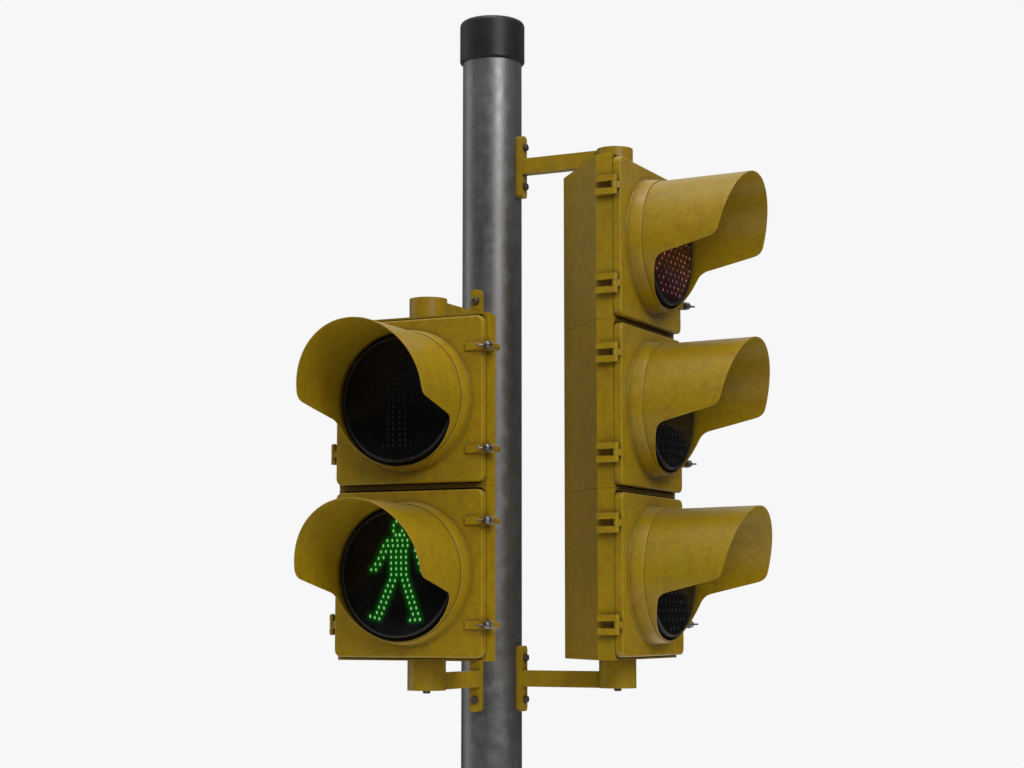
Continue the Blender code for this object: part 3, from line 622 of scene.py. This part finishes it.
def gasket():
    """A rubber seal with a round back, in the rim of the door's tray."""
    low, high = DOOR_LOW + WALL, DOOR_HIGH - WALL
    base, back = FACE + WALL, PARTING - CLEAR - 0.0006
    section = [(0.0006, base), (0.0006, back - 0.0014), (0.0014, back - 0.0004), (0.0026, back)]
    section += [(0.0038, back - 0.0004), (0.0046, back - 0.0014), (0.0046, base)]
    rings = []
    for by, y in section:
        outline = rounded_rectangle(DOOR_HALF - WALL - by, low + by, high - by, DOOR_CORNER - WALL - by)
        rings.append([(x, y, z) for x, z in outline])
    return loft(rings, closed=True)


def terminal_strip():
    """A moulded block with barriers between its ways, on the housing's back wall."""
    back, middle = BACK - WALL - 0.0002, SECTION / 2
    low, high = middle - 0.012, middle + 0.012
    base = box((-0.031, back - 0.008, low), (0.031, back, high))
    ribs = []
    for x in barriers():
        ribs.append(box((x - 0.0012, back - 0.017, low), (x + 0.0012, back - 0.004, high)))
    return bevelled(join(base, *ribs), 0.0006, 2)


def terminal_screws():
    """The slotted screws between the barriers."""
    back, screws = BACK - WALL - 0.0002, []
    profile = [(0, 0.0022), (0.0022, 0.0018), (0.0030, 0.0008), (0.0030, -0.0030), (0, -0.0030)]
    for a, b in zip(barriers(), barriers()[1:]):
        x = (a + b) / 2
        for z in (SECTION / 2 - 0.006, SECTION / 2 + 0.006):
            head = turned(profile, 20, "-Y", (x, back - 0.008, z))
            slot = box((x - 0.0004, back - 0.0120, z - 0.004), (x + 0.0004, back - 0.0094, z + 0.004))
            screws.append(cut(head, slot))
    return merged(*screws)


def barriers():
    """Where the terminal strip's barriers are, along X."""
    return [-0.0295 + 0.059 * i / (TERMINAL_WAYS - 1) for i in range(TERMINAL_WAYS)]


def softened(points, setback, steps=6):
    """A polyline whose inner corners are rounded."""
    points = [Vector(p) for p in points]
    out = [points[0]]
    for before, corner, after in zip(points, points[1:], points[2:]):
        reach = min(setback, (before - corner).length / 2, (after - corner).length / 2)
        start = corner + (before - corner).normalized() * reach
        end = corner + (after - corner).normalized() * reach
        for i in range(steps + 1):
            t = i / steps
            out.append(start * (1 - t) ** 2 + corner * 2 * t * (1 - t) + end * t * t)
    return out + [points[-1]]


def visor():
    """A rolled sheet tube. Its front edge follows the side view, and is rounded over."""
    side = softened(VISOR_SIDE, 0.017)

    def reach_at(height):
        for (r0, h0), (r1, h1) in zip(side, side[1:]):
            if h1 <= height <= h0:
                return r0 + (r1 - r0) * (h0 - height) / max(h0 - h1, 1e-9)
        return side[-1][0]

    angles = [math.radians(a / 20) for a in range(3601)]
    fine = [(angle, reach_at(VISOR_R * math.cos(angle))) for angle in angles]
    edge = [fine[0]]
    for phi, reach in fine:
        if math.hypot((phi - edge[-1][0]) * VISOR_R, reach - edge[-1][1]) >= 0.0032:
            edge.append((phi, reach))
    edge[-1] = fine[-1]
    edge += [(2 * math.pi - phi, reach) for phi, reach in reversed(edge[1:-1])]
    flat = [Vector((phi * VISOR_R, reach)) for phi, reach in edge]
    around = 2 * math.pi * VISOR_R
    mid, half = VISOR_R - VISOR_WALL / 2, VISOR_WALL / 2
    columns = []
    count = len(flat)
    for i, here in enumerate(flat):
        before = flat[i - 1] if i else flat[-1] - Vector((around, 0))
        after = flat[i + 1] if i < count - 1 else flat[0] + Vector((around, 0))
        along = (after - before).normalized()
        out = Vector((-along.y, along.x))
        base = here - out * half
        start = Vector((here.x, VISOR_START))
        column = []
        rows = 16
        for k in range(rows + 1):
            column.append((start.lerp(base, k / rows), VISOR_R))
        for k in range(1, 6):
            t = math.radians(-90 + 30 * k)
            column.append((base + out * half * math.cos(t), mid - half * math.sin(t)))
        for k in range(rows, -1, -1):
            column.append((start.lerp(base, k / rows), VISOR_R - VISOR_WALL))
        columns.append(column)
    rings = []
    for column in columns:
        ring = []
        for point, radius in column:
            phi = point.x / VISOR_R
            dent = 0.0005 * noise.noise(Vector((math.sin(phi) * 2, math.cos(phi) * 2, point.y * 12)))
            dent *= min(1.0, max(0.0, (point.y - 0.04) / 0.06))
            radius += dent + VISOR_FLARE * (point.y - VISOR_START)
            ring.append((radius * math.sin(phi), FACE - point.y, LENS_Z + radius * math.cos(phi)))
        rings.append(ring)
    return loft(rings, closed=True)


def dome_height(radius):
    """The lens face's height over the door's face."""
    return 0.0500 - 0.0062 * (radius / 0.1245) ** 2


def lamp_body():
    """The LED unit's drum: the bead that holds the lens, its mounting flange and its closed, stepped back."""
    return turned(
        [
            (0, LENS_BACK - 0.0010), (0.1225, LENS_BACK - 0.0010), (0.1240, 0.0400), (0.1245, 0.0436),
            (0.1252, 0.0446), (0.1268, 0.0450), (0.1290, 0.0446), (0.1303, 0.0434), (0.1308, 0.0415),
            (0.1310, 0.0137), (0.1370, 0.0137), (0.1375, 0.0132), (0.1375, 0.0105), (0.1370, 0.0100),
            (0.1260, 0.0100), (0.1238, 0.0060), (0.0965, -0.0355), (0.0945, -0.0378), (0.0915, -0.0380),
            (0.0620, -0.0380), (0.0606, -0.0374), (0.0600, -0.0360), (0.0600, -0.0330),
            (0.0450, -0.0330), (0.0440, -0.0345), (0.0280, -0.0345), (0.0270, -0.0330),
            (0.0120, -0.0330), (0.0118, -0.0372), (0.0110, -0.0380), (0.0062, -0.0380),
            (0.0055, -0.0372), (0.0055, -0.0300), (0, -0.0300),
        ],
        96,
        "-Y",
        (0, FACE, LENS_Z),
    )


def lens_face(dots, reach):
    """The lens, as fine as the glow in its point attribute needs. A dot is (x, z, level)."""
    bm = bmesh.new()
    rings = 56
    rows = [[bm.verts.new((0, dome_height(0), 0))]]
    for k in range(1, rings + 1):
        radius = LENS_R * k / rings
        sides = 168
        row = []
        for i in range(sides):
            a = 2 * math.pi * i / sides
            row.append(bm.verts.new((radius * math.cos(a), dome_height(radius), radius * math.sin(a))))
        rows.append(row)
    for a, b in zip(rows, rows[1:]):
        for i in range(len(b)):
            j = (i + 1) % len(b)
            corners = [a[i % len(a)], a[j % len(a)], b[j], b[i]]
            bm.faces.new(list(dict.fromkeys(corners)))
    rim = [bm.verts.new((v.co.x, LENS_BACK, v.co.z)) for v in rows[-1]]
    for i in range(len(rim)):
        j = (i + 1) % len(rim)
        bm.faces.new((rows[-1][i], rows[-1][j], rim[j], rim[i]))
    bm.faces.new(rim)
    mesh = finished(bm)
    glow = mesh.attributes.new("glow", "FLOAT", "POINT")
    for vertex, item in zip(mesh.vertices, glow.data):
        halo = []
        for x, z, level in dots:
            away = (vertex.co.x - x) ** 2 + (vertex.co.z - z) ** 2
            halo.append(level * math.exp(-away / reach ** 2))
        item.value = min(1.0, sum(halo)) if vertex.co.y > 0.04 else 0.0
    mesh.transform(Matrix.Translation((0, FACE, LENS_Z)) @ Matrix.Scale(-1, 4, (0, 1, 0)))
    mesh.flip_normals()
    return mesh


def led_domes(dots, half_x, half_z, rise):
    """A small glass dome on the lens face at each dot. "core" is its level at its top and 0 at its foot."""
    bm = bmesh.new()
    core = bm.verts.layers.float.new("core")
    for x, z, level in dots:
        foot = dome_height(math.hypot(x, z)) - DOME_FOOT
        levels = []
        for tilt in (0, 35, 62):
            t = math.radians(tilt)
            ring = []
            for i in range(DOME_SIDES):
                a = 2 * math.pi * i / DOME_SIDES
                across = x + half_x * math.cos(t) * math.cos(a)
                up = z + half_z * math.cos(t) * math.sin(a)
                vertex = bm.verts.new((across, foot + (rise + DOME_FOOT) * math.sin(t), up))
                vertex[core] = level * math.sin(t) ** 2
                ring.append(vertex)
            levels.append(ring)
        tip = bm.verts.new((x, foot + rise + DOME_FOOT, z))
        tip[core] = level
        for a, b in zip(levels, levels[1:]):
            for i in range(DOME_SIDES):
                j = (i + 1) % DOME_SIDES
                bm.faces.new((a[i], a[j], b[j], b[i]))
        for i in range(DOME_SIDES):
            bm.faces.new((levels[-1][i], levels[-1][(i + 1) % DOME_SIDES], tip))
        bm.faces.new(levels[0])
    mesh = finished(bm)
    mesh.transform(Matrix.Translation((0, FACE, LENS_Z)) @ Matrix.Scale(-1, 4, (0, 1, 0)))
    mesh.flip_normals()
    return mesh


def line(start, end, count):
    start, end = Vector(start) / 1000, Vector(end) / 1000
    return [(*start.lerp(end, i / max(count - 1, 1)), 1.0) for i in range(count)]


def head_ring(x, z):
    dots = []
    for i in range(8):
        a = math.radians(22.5 + 45 * i)
        dots.append(((x + 10.7 * math.cos(a)) / 1000, (z + 14.8 * math.sin(a)) / 1000, 1.0))
    return dots


def walking_figure():
    """Dots of the walking symbol, by limbs, in millimetres from the lens's centre."""
    dots = head_ring(3.7, 91.0)
    dots += line((0.0, 76.6), (19.0, 76.6), 3)
    dots += line((-19.7, 66.0), (26.6, 66.0), 5) + line((-28.8, 55.4), (27.6, 55.4), 6)
    for x in (-10.4, 1.2, 12.6, 24.0):
        dots += line((x, 43.6), (x + 1.4, -3.2), 5)
    dots += line((-33.9, 43.0), (-39.4, 30.0), 2) + line((-47.1, 18.5), (-56.7, 7.4), 2)
    dots += line((-22.4, 43.6), (-27.6, 31.6), 2) + line((-35.4, 18.0), (-45.2, 7.2), 2)
    dots += line((44.6, 45.0), (58.0, 6.2), 4) + line((56.2, 45.0), (70.6, 6.2), 4)
    dots += line((-12.0, -14.4), (-43.6, -79.4), 7) + line((-0.4, -15.4), (-31.9, -81.4), 7)
    dots += line((17.0, -14.8), (39.6, -82.6), 7) + line((28.6, -13.8), (51.2, -81.4), 7)
    dots += line((-60.0, -87.0), (-38.2, -92.0), 3) + line((32.6, -95.0), (55.0, -93.2), 3)
    return dots


def standing_figure():
    """Dots of the standing symbol."""
    dots = head_ring(0.0, 90.0)
    dots += line((-23.2, 66.0), (23.2, 66.0), 5) + line((-34.8, 55.0), (34.8, 55.0), 7)
    for x in (-17.4, -5.8, 5.8, 17.4):
        dots += line((x, 43.4), (x, -14.6), 6)
    for side in (-1, 1):
        dots += line((side * 34.8, 43.4), (side * 38.0, -3.0), 5)
        for x in (8.0, 19.6):
            dots += line((side * x, -26.2), (side * x, -84.2), 6)
        dots += line((side * 8.0, -95.0), (side * 31.0, -95.0), 3)
    return dots


def full_disc(row_gap, pitch):
    """Dots over a whole lens in staggered, slightly uneven rows, some duller than others."""
    dots = []
    for row in range(-9, 10):
        for column in range(-6, 7):
            x, z = (column + (row % 2) / 2) * pitch, row * row_gap
            place = Vector((x * 77, z * 77, 4.0))
            x += 0.0030 * noise.noise(place + Vector((9.0, 0.0, 5.0)))
            z += 0.0030 * noise.noise(place + Vector((0.0, 7.0, 8.0)))
            if math.hypot(x, z) < 0.117:
                dots.append((x, z, max(0.04, min(1.0, 0.42 + 1.6 * noise.noise(place)))))
    return dots


def wing_screw():
    """A domed boss with two flared wings, and the shank behind it. Made about the point (0, seat, 0)."""
    seat = FACE - STRAP_PROUD - CLEAR
    boss = turned(
        [
            (0, 0.0128), (0.0026, 0.0125), (0.0050, 0.0115), (0.0068, 0.0098), (0.0079, 0.0074),
            (0.0084, 0.0046), (0.0086, 0.0020), (0.0094, 0.0016), (0.0096, 0.0008), (0.0092, 0.0000),
            (0.0050, 0.0000), (0.0050, -0.0350), (0.0044, -0.0390), (0, -0.0390),
        ],
        32,
        "-Y",
        (0, seat, 0),
    )
    half_wing = [
        (0.0030, 0.0010), (0.0075, 0.0018), (0.0125, 0.0046), (0.0162, 0.0082), (0.0184, 0.0118),
        (0.0192, 0.0148), (0.0187, 0.0164), (0.0172, 0.0170), (0.0150, 0.0166), (0.0128, 0.0152),
        (0.0098, 0.0122), (0.0068, 0.0102), (0.0030, 0.0096),
    ]
    wings = []
    for side in (-1, 1):
        outline = [(side * x, seat - drop) for x, drop in half_wing]
        wings.append(bevelled(prism(outline, -0.0018, 0.0018), 0.0012, 3, 40))
    return join(boss, *wings)


def hinge_pin():
    return turned(
        [
            (0, -0.0215), (0.0026, -0.0215), (PIN_R, -0.0211), (PIN_R, HINGE_HALF + CLEAR),
            (0.0045, HINGE_HALF + CLEAR), (0.0045, HINGE_HALF + 0.0009), (0.0038, HINGE_HALF + 0.0017),
            (0, HINGE_HALF + 0.0020),
        ],
        20,
    )


# Brackets, in an arm's frame: the pole's axis at the origin, the arm towards -Y, its bar centred on Z = 0

def bracket_arm(hub_low, hub_high):
    outline = rounded_rectangle(0.0130, -0.071, 0.071, 0.009, 6)
    plate = prism(outline, PLATE_BACK, -0.060, "Y")
    bar = box((-0.0125, -0.282, -BAR_HALF), (0.0125, -0.078, BAR_HALF))
    hub = rod(HUB_R, (0, -HUB_OFFSET, hub_low), (0, -HUB_OFFSET, hub_high), 64)
    saddle = rod(POLE_R + CLEAR, (0, 0, -0.1), (0, 0, 0.1), 128)
    holes = [saddle, rod(STUD_HOLE, (0, -HUB_OFFSET, -0.1), (0, -HUB_OFFSET, 0.1))]
    for z in (-BOLT_STEP, BOLT_STEP):
        holes.append(rod(0.0063, (0, -0.05, z), (0, -0.09, z), 20))
    return bevelled(cut(join(plate, bar, hub), *holes), 0.0012, 3)


def plate_bolt():
    """A hexagon bolt with a chamfered head and a washer."""
    back = -0.0818
    rim = [(0, 0), (0.0086, 0), (0.0090, 0.0004), (0.0090, 0.0014), (0.0086, 0.0018), (0, 0.0018)]
    washer = turned(rim, 40, "-Y", (0, back, 0))
    hexagon = prism(arc(0, 0, 0.0080, 0, 300, 5), back - 0.0016, back - 0.0077, "Y")
    crown = [(0, 0.0078), (0.0058, 0.0077), (0.0071, 0.0070), (0.0086, 0.0052), (0.0086, -0.01), (0, -0.01)]
    head = combined(hexagon, [turned(crown, 48, "-Y", (0, back, 0))], "INTERSECT")
    shank = rod(0.0055, (0, -0.0520, 0), (0, back - 0.004, 0), 20)
    return join(washer, shank, head)


def hub_stud(inside, outside):
    """A stud through a hub, with a flanged nut inside the housing and its domed end outside."""
    sign = 1 if outside > inside else -1
    length = abs(outside - inside)
    nut = prism(arc(0, 0, 0.0125, 0, 300, 5), -0.011, -0.002)
    stud = turned(
        [
            (0, -0.0140), (0.0070, -0.0140), (0.0080, -0.0130), (0.0080, length - 0.0016),
            (0.0074, length - 0.0006), (0.0060, length), (0, length),
        ],
        32,
    )
    flange = turned([(0, -0.003), (0.0145, -0.003), (0.0150, -0.0024), (0.0150, 0), (0, 0)], 48)
    made = join(stud, bevelled(nut, 0.0006, 2), flange)
    if sign < 0:
        made.transform(Matrix.Scale(-1, 4, (0, 0, 1)))
        made.flip_normals()
    made.transform(Matrix.Translation((0, 0, inside)))
    return made


# Post

def pole():
    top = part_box("pole")[1].z
    tube = turned(
        [
            *[(POLE_R, 0.0160 + (top - 0.0168) * k / 120) for k in range(120, -1, -1)],
            (POLE_R - 0.0040, 0.0160), (POLE_R - 0.0040, top - 0.0008), (POLE_R - 0.0032, top),
            (POLE_R - 0.0008, top),
        ],
        128,
    )
    corner = arc(0.15, 0.15, 0.03, 0, 90, 8)
    outline = []
    for quarter in range(4):
        turn = Matrix.Rotation(math.radians(90 * quarter), 2)
        outline += [tuple(turn @ Vector(point)) for point in corner]
    plate = prism(outline, 0, 0.020)
    parts = [bevelled(plate, 0.0015, 2)]
    for quarter in range(4):
        side = [(0.0644, 0.018), (0.165, 0.018), (0.165, 0.032), (0.0764, 0.140), (0.0644, 0.140)]
        gusset = bevelled(prism(side, -0.005, 0.005, "X"), 0.0010, 2)
        gusset.transform(Matrix.Rotation(math.radians(90 * quarter), 4, "Z"))
        parts.append(gusset)
    parts.append(weld_bead())
    holes = []
    for x in (-0.135, 0.135):
        for y in (-0.135, 0.135):
            holes.append(rod(0.0125, (x, y, -0.01), (x, y, 0.03)))
    for x in (-0.038, 0.038):
        holes.append(rod(0.018, (x, 0, -0.01), (x, 0, 0.03)))
    window = rounded_rectangle(0.040, 0.51, 0.69, 0.012)
    holes.append(prism(window, 0.02, 0.08, "Y"))
    holes.append(rod(0.0036, (0, 0.04, COVER_SCREW_Z), (0, 0.08, COVER_SCREW_Z), 20))
    for node in bpy.data.objects:
        if "plate_bolt" in node.name and node.name in frame["nodes"]:
            low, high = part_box(node.name)
            centre = (low + high) / 2
            flat = Vector((centre.x, centre.y, 0)).normalized()
            start, end = flat * 0.04, flat * 0.09
            holes.append(rod(0.0062, (start.x, start.y, centre.z), (end.x, end.y, centre.z), 20))
    return cut(join(tube, *parts), *holes)


def weld_bead():
    """An uneven fillet where the tube meets the base plate."""
    rings = []
    sides = 160
    for i in range(sides):
        a = 2 * math.pi * i / sides
        lump = noise.noise(Vector((math.cos(a) * 5, math.sin(a) * 5, 0)))
        size = 0.0062 + 0.0007 * math.sin(a * 46) + 0.0008 * lump
        ring = []
        for k in range(10):
            t = 2 * math.pi * k / 10
            radius = POLE_R + 0.0002 + size * math.cos(t)
            ring.append((radius * math.cos(a), radius * math.sin(a), 0.0198 + size * math.sin(t)))
        rings.append(ring)
    return loft(rings, closed=True)


def cap():
    low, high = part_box("pole_cap")
    bottom, top, radius = low.z, high.z, high.x
    inner = POLE_R + 0.0004
    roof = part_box("pole")[1].z + CLEAR
    shoulder = []
    for t in [math.radians(90 - 11.25 * k) for k in range(9)]:
        shoulder.append((radius - 0.012 + 0.012 * math.cos(t), top - 0.012 + 0.012 * math.sin(t)))
    return turned(
        [
            (0, top),
            (0.030, top),
            *shoulder,
            (radius, top - 0.020), (radius, bottom + 0.004), (radius - 0.0012, bottom + 0.0014),
            (radius - 0.0030, bottom), (inner, bottom), (inner, roof), (0, roof),
        ],
        128,
    )


def hand_hole_cover():
    low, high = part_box("hand_hole_cover")
    inner, outer = POLE_R + CLEAR, 0.0700
    shell = turned([(outer, high.z), (outer, low.z), (inner, low.z), (inner, high.z)], 128)
    window = prism(rounded_rectangle(0.048, low.z, high.z, 0.012), 0.03, 0.09, "Y")
    hook = 0.678
    stem = box((-0.012, 0.056, hook), (0.012, 0.068, hook + 0.008))
    tongue = box((-0.012, 0.056, hook), (0.012, 0.0595, hook + 0.027))
    hole = rod(0.0036, (0, 0.06, COVER_SCREW_Z), (0, 0.08, COVER_SCREW_Z), 20)
    cover = combined(shell, [window], "INTERSECT")
    return bevelled(cut(join(cover, stem, tongue), hole), 0.0007, 2)


def cover_screw():
    z = COVER_SCREW_Z
    profile = [(0, 0.0745), (0.0030, 0.0743), (0.0055, 0.0732), (0.0068, 0.0715), (0.0070, 0.0703)]
    profile += [(0.0030, 0.0703), (0.0030, 0.0540), (0, 0.0540)]
    head = turned(profile, 32, "Y", (0, 0, z))
    slot = box((-0.0050, 0.0732, z - 0.0007), (0.0050, 0.08, z + 0.0007))
    return cut(head, slot)


# Placing

def show(name, mesh, material, body, slot, *nodes, angle=35, matrix=None):
    """One finished piece, in the row frame, on its body."""
    mesh = mesh.copy()
    if matrix:
        mesh.transform(matrix)
    mesh.name = name
    mesh.materials.clear()
    mesh.materials.append(material)
    mesh.shade_smooth()
    mesh.set_sharp_from_angle(angle=math.radians(angle))
    piece = bpy.data.objects.new(name, mesh)
    bpy.context.scene.collection.objects.link(piece)
    flats = piece.modifiers.new("flats", "WEIGHTED_NORMAL")
    flats.keep_sharp = True
    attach(piece, body)
    if nodes:
        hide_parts(*nodes)
    return piece


YELLOW = signal_yellow()
ZINC = galvanised()
PLASTIC = black_plastic()
SEAL = rubber()
BRIGHT_STEEL = bare_steel("zinc_steel", (0.070, 0.067, 0.066), (0.20, 0.195, 0.195), 0.05, 0.22)
DARK_STEEL = bare_steel("weathered_steel", (0.060, 0.055, 0.050), (0.140, 0.130, 0.115), 0.14, 0.40)

GREEN = ((0.006, 0.16, 0.014), (0.22, 0.56, 0.17))
RED = ((0.040, 0.003, 0.002), (0.480, 0.230, 0.210))
GREEN_HALO, RED_HALO = (0.000, 0.058, 0.001), (0.050, 0.002, 0.001)
UNLIT = (0.0060, None)
DARK_DISC = (full_disc(0.0186, 0.0215), (0.0030, 0.0034), UNLIT, (0.012, 0.012, 0.012), None)
RED_DOTS = full_disc(0.0130, 0.0245)

# Each lamp's dots, a dome's half width and half height, its halo's reach and colour, and its glass and light
LAMPS = {
    "walk": (walking_figure(), (0.0024, 0.0038), (0.0066, GREEN_HALO), (0.06, 0.14, 0.06), GREEN),
    "stand": (standing_figure(), (0.0026, 0.0044), UNLIT, (0.004, 0.004, 0.0045), None),
    "green": DARK_DISC,
    "amber": DARK_DISC,
    "red": (RED_DOTS, (0.0021, 0.0036), (0.0085, RED_HALO), (0.040, 0.008, 0.007), RED),
}

joints = {joint["name"]: joint for joint in frame["joints"]}
door_mesh = door()
visor_mesh = visor()
body_mesh = lamp_body()
screw_mesh = wing_screw()
gasket_mesh = gasket()
strip_mesh = terminal_strip()
terminal_mesh = terminal_screws()
pin_mesh = hinge_pin()
bolt_mesh = plate_bolt()

for head, (sections, turn) in HEADS.items():
    head_body = f"{head}_head"
    hub = Vector(joints[f"{head}_head_aim"]["pos_m"])
    facing = Matrix.Rotation(math.radians(turn), 4, "Z")
    for level, name in enumerate(sections):
        is_bottom, is_top = level == 0, level == len(sections) - 1
        base = Matrix.Translation(hub + Vector((0, 0, level * SECTION))) @ facing
        door_body = f"{name}_door"
        case = housing(is_top, is_bottom)
        dots, (half_x, half_z), (reach, glow), glass, light = LAMPS[name]
        cover = lens_cover(f"{name}_lens", glow)
        lens = lens_face(dots if glow else [], reach)
        pieces = (
            (f"{name}_case", case, YELLOW, head_body, "signal_yellow", f"{name}_housing"),
            (f"{name}_door_casting", door_mesh, YELLOW, door_body, "signal_yellow", f"{name}_door"),
            (f"{name}_hood", visor_mesh, YELLOW, door_body, "signal_yellow", f"{name}_visor"),
            (f"{name}_gasket", gasket_mesh, SEAL, door_body, "black_plastic"),
            (f"{name}_terminal_strip", strip_mesh, PLASTIC, head_body, "black_plastic"),
            (f"{name}_terminal_screws", terminal_mesh, BRIGHT_STEEL, head_body, "zinc_steel"),
            (f"{name}_lamp_drum", body_mesh, PLASTIC, door_body, "black_plastic", f"{name}_lamp"),
            (f"{name}_lens_face", lens, cover, door_body, "lens", f"{name}_lamp"),
        )
        for piece in pieces:
            show(*piece, matrix=base)
        domes = led_domes(dots, half_x, half_z, 0.0014)
        glass = led_glass(f"{name}_led_glass", glass, light)
        show(f"{name}_leds", domes, glass, door_body, "lens", matrix=base, angle=80)
        for label, z in zip(("lower", "upper"), FITTINGS):
            at = base @ Matrix.Translation((SCREW_X, 0, z))
            body = f"{name}_{label}_wing_screw"
            show(f"{name}_{label}_wing_nut", screw_mesh, BRIGHT_STEEL, body, "zinc_steel", body, matrix=at)
            at = base @ Matrix.Translation((*HINGE, z))
            node = f"{name}_{label}_hinge_pin"
            show(f"{name}_{label}_pin", pin_mesh, DARK_STEEL, head_body, "zinc_steel", node, matrix=at)
    height = len(sections) * SECTION
    heights = {
        "lower": -LOWER_BOSS - CLEAR - LOWER_HUB + BAR_HALF,
        "upper": height + UPPER_BOSS + CLEAR + BAR_HALF,
    }
    fall = TOP_FALL * (0.0150 - PARTING) / (BACK - PARTING)
    wall = WALL + CLEAR * 2
    spans = {"lower": (-BAR_HALF, 0.0305), "upper": (-BAR_HALF, BAR_HALF)}
    studs = {
        "lower": (wall, -LOWER_BOSS - CLEAR - LOWER_HUB - 0.0065),
        "upper": (height - fall - wall, heights["upper"] + BAR_HALF + 0.004),
    }
    swing = Matrix.Translation((0, 0, hub.z)) @ facing
    for label, z in heights.items():
        node = f"{head}_{label}_arm"
        arm = bracket_arm(*spans[label])
        at = swing @ Matrix.Translation((0, 0, z))
        show(f"{node}_casting", arm, YELLOW, "post", "signal_yellow", node, matrix=at)
        for end, step in (("low", -BOLT_STEP), ("high", BOLT_STEP)):
            node = f"{head}_{label}_plate_bolt_{end}"
            at = swing @ Matrix.Translation((0, 0, z + step))
            show(f"{node}_hex", bolt_mesh, DARK_STEEL, "post", "weathered_steel", node, matrix=at)
        node = f"{head}_{label}_hub_stud"
        stud = hub_stud(*studs[label])
        at = swing @ Matrix.Translation((0, -HUB_OFFSET, 0))
        show(f"{node}_turned", stud, DARK_STEEL, "post", "weathered_steel", node, matrix=at)

show("post_tube", pole(), ZINC, "post", "galvanised", "pole")
show("post_cap", cap(), PLASTIC, "post", "black_plastic", "pole_cap")
show("post_cover", hand_hole_cover(), ZINC, "post", "galvanised", "hand_hole_cover")
show("post_cover_screw", cover_screw(), DARK_STEEL, "post", "weathered_steel", "hand_hole_screw")


# Floor, light and camera

def floor():
    s = Shader("floor", Roughness=0.8)
    cloud = s.noise(0.6, 3.0, 0.5)
    s.set(s.base, {"Base Color": s.mix(cloud, (0.78, 0.78, 0.78), (0.82, 0.82, 0.82))})
    disc = turned([(0, -0.001), (9.0, -0.001), (9.0, -0.02), (0, -0.02)], 128)
    disc.materials.append(s.material)
    piece = bpy.data.objects.new("floor", disc)
    bpy.context.scene.collection.objects.link(piece)


def area_light(name, azimuth, elevation, distance, size, power):
    """A soft box aimed at the signal heads. Azimuth 0 is in front, on the -Y side, and 90 is at +X."""
    target = Vector((0.1, -0.1, 2.75))
    a, e = math.radians(azimuth), math.radians(elevation)
    away = Vector((math.sin(a) * math.cos(e), -math.cos(a) * math.cos(e), math.sin(e)))
    data = bpy.data.lights.new(name, "AREA")
    data.shape = "RECTANGLE"
    data.size, data.size_y = size
    data.energy = power
    lamp = bpy.data.objects.new(name, data)
    lamp.location = target + away * distance
    lamp.rotation_euler = away.to_track_quat("Z", "Y").to_euler()
    lamp.visible_camera = False
    bpy.context.scene.collection.objects.link(lamp)


def sky():
    """Even pale surroundings for the camera, and a soft gradient that lights the object."""
    world = bpy.data.worlds.new("sky")
    bpy.context.scene.world = world
    world.use_nodes = True
    tree = world.node_tree
    backdrop = tree.nodes["Background"]
    backdrop.inputs["Color"].default_value = (0.930, 0.930, 0.930, 1)
    ambient = tree.nodes.new("ShaderNodeBackground")
    coords = tree.nodes.new("ShaderNodeTexCoord")
    split = tree.nodes.new("ShaderNodeSeparateXYZ")
    ramp = tree.nodes.new("ShaderNodeValToRGB")
    stretch = tree.nodes.new("ShaderNodeMapRange")
    stretch.inputs["From Min"].default_value = -1.0
    stops = ((0.0, 0.10), (0.46, 0.030), (0.54, 0.035), (0.72, 0.46), (1.0, 1.0))
    elements = ramp.color_ramp.elements
    while len(elements) < len(stops):
        elements.new(0.5)
    for element, (position, grey) in zip(elements, stops):
        element.position = position
        element.color = (grey, grey, grey, 1)
    path = tree.nodes.new("ShaderNodeLightPath")
    mix = tree.nodes.new("ShaderNodeMixShader")
    for output, socket in (
        (coords.outputs["Generated"], split.inputs[0]),
        (split.outputs["Z"], stretch.inputs["Value"]),
        (stretch.outputs[0], ramp.inputs["Fac"]),
        (ramp.outputs["Color"], ambient.inputs["Color"]),
        (path.outputs["Is Camera Ray"], mix.inputs[0]),
        (ambient.outputs[0], mix.inputs[1]),
        (backdrop.outputs[0], mix.inputs[2]),
        (mix.outputs[0], tree.nodes["World Output"].inputs["Surface"]),
    ):
        tree.links.new(output, socket)


floor()
sky()
area_light("key", 52, 30, 12.0, (5.2, 5.2), 900)
area_light("fill", -78, 7, 12.0, (6.5, 8.5), 240)
area_light("top", 10, 82, 9.0, (3.6, 3.6), 340)

camera = bpy.data.objects.new("camera", bpy.data.cameras.new("camera"))
camera.data.lens = 71.44
camera.data.sensor_width = 36.0
camera.location = (2.0217, -4.0533, 2.2914)
camera.rotation_euler = (math.radians(90 + 6.51), 0, math.radians(25.94))
bpy.context.scene.collection.objects.link(camera)
bpy.context.scene.camera = camera
bpy.context.scene.view_settings.view_transform = "Standard"
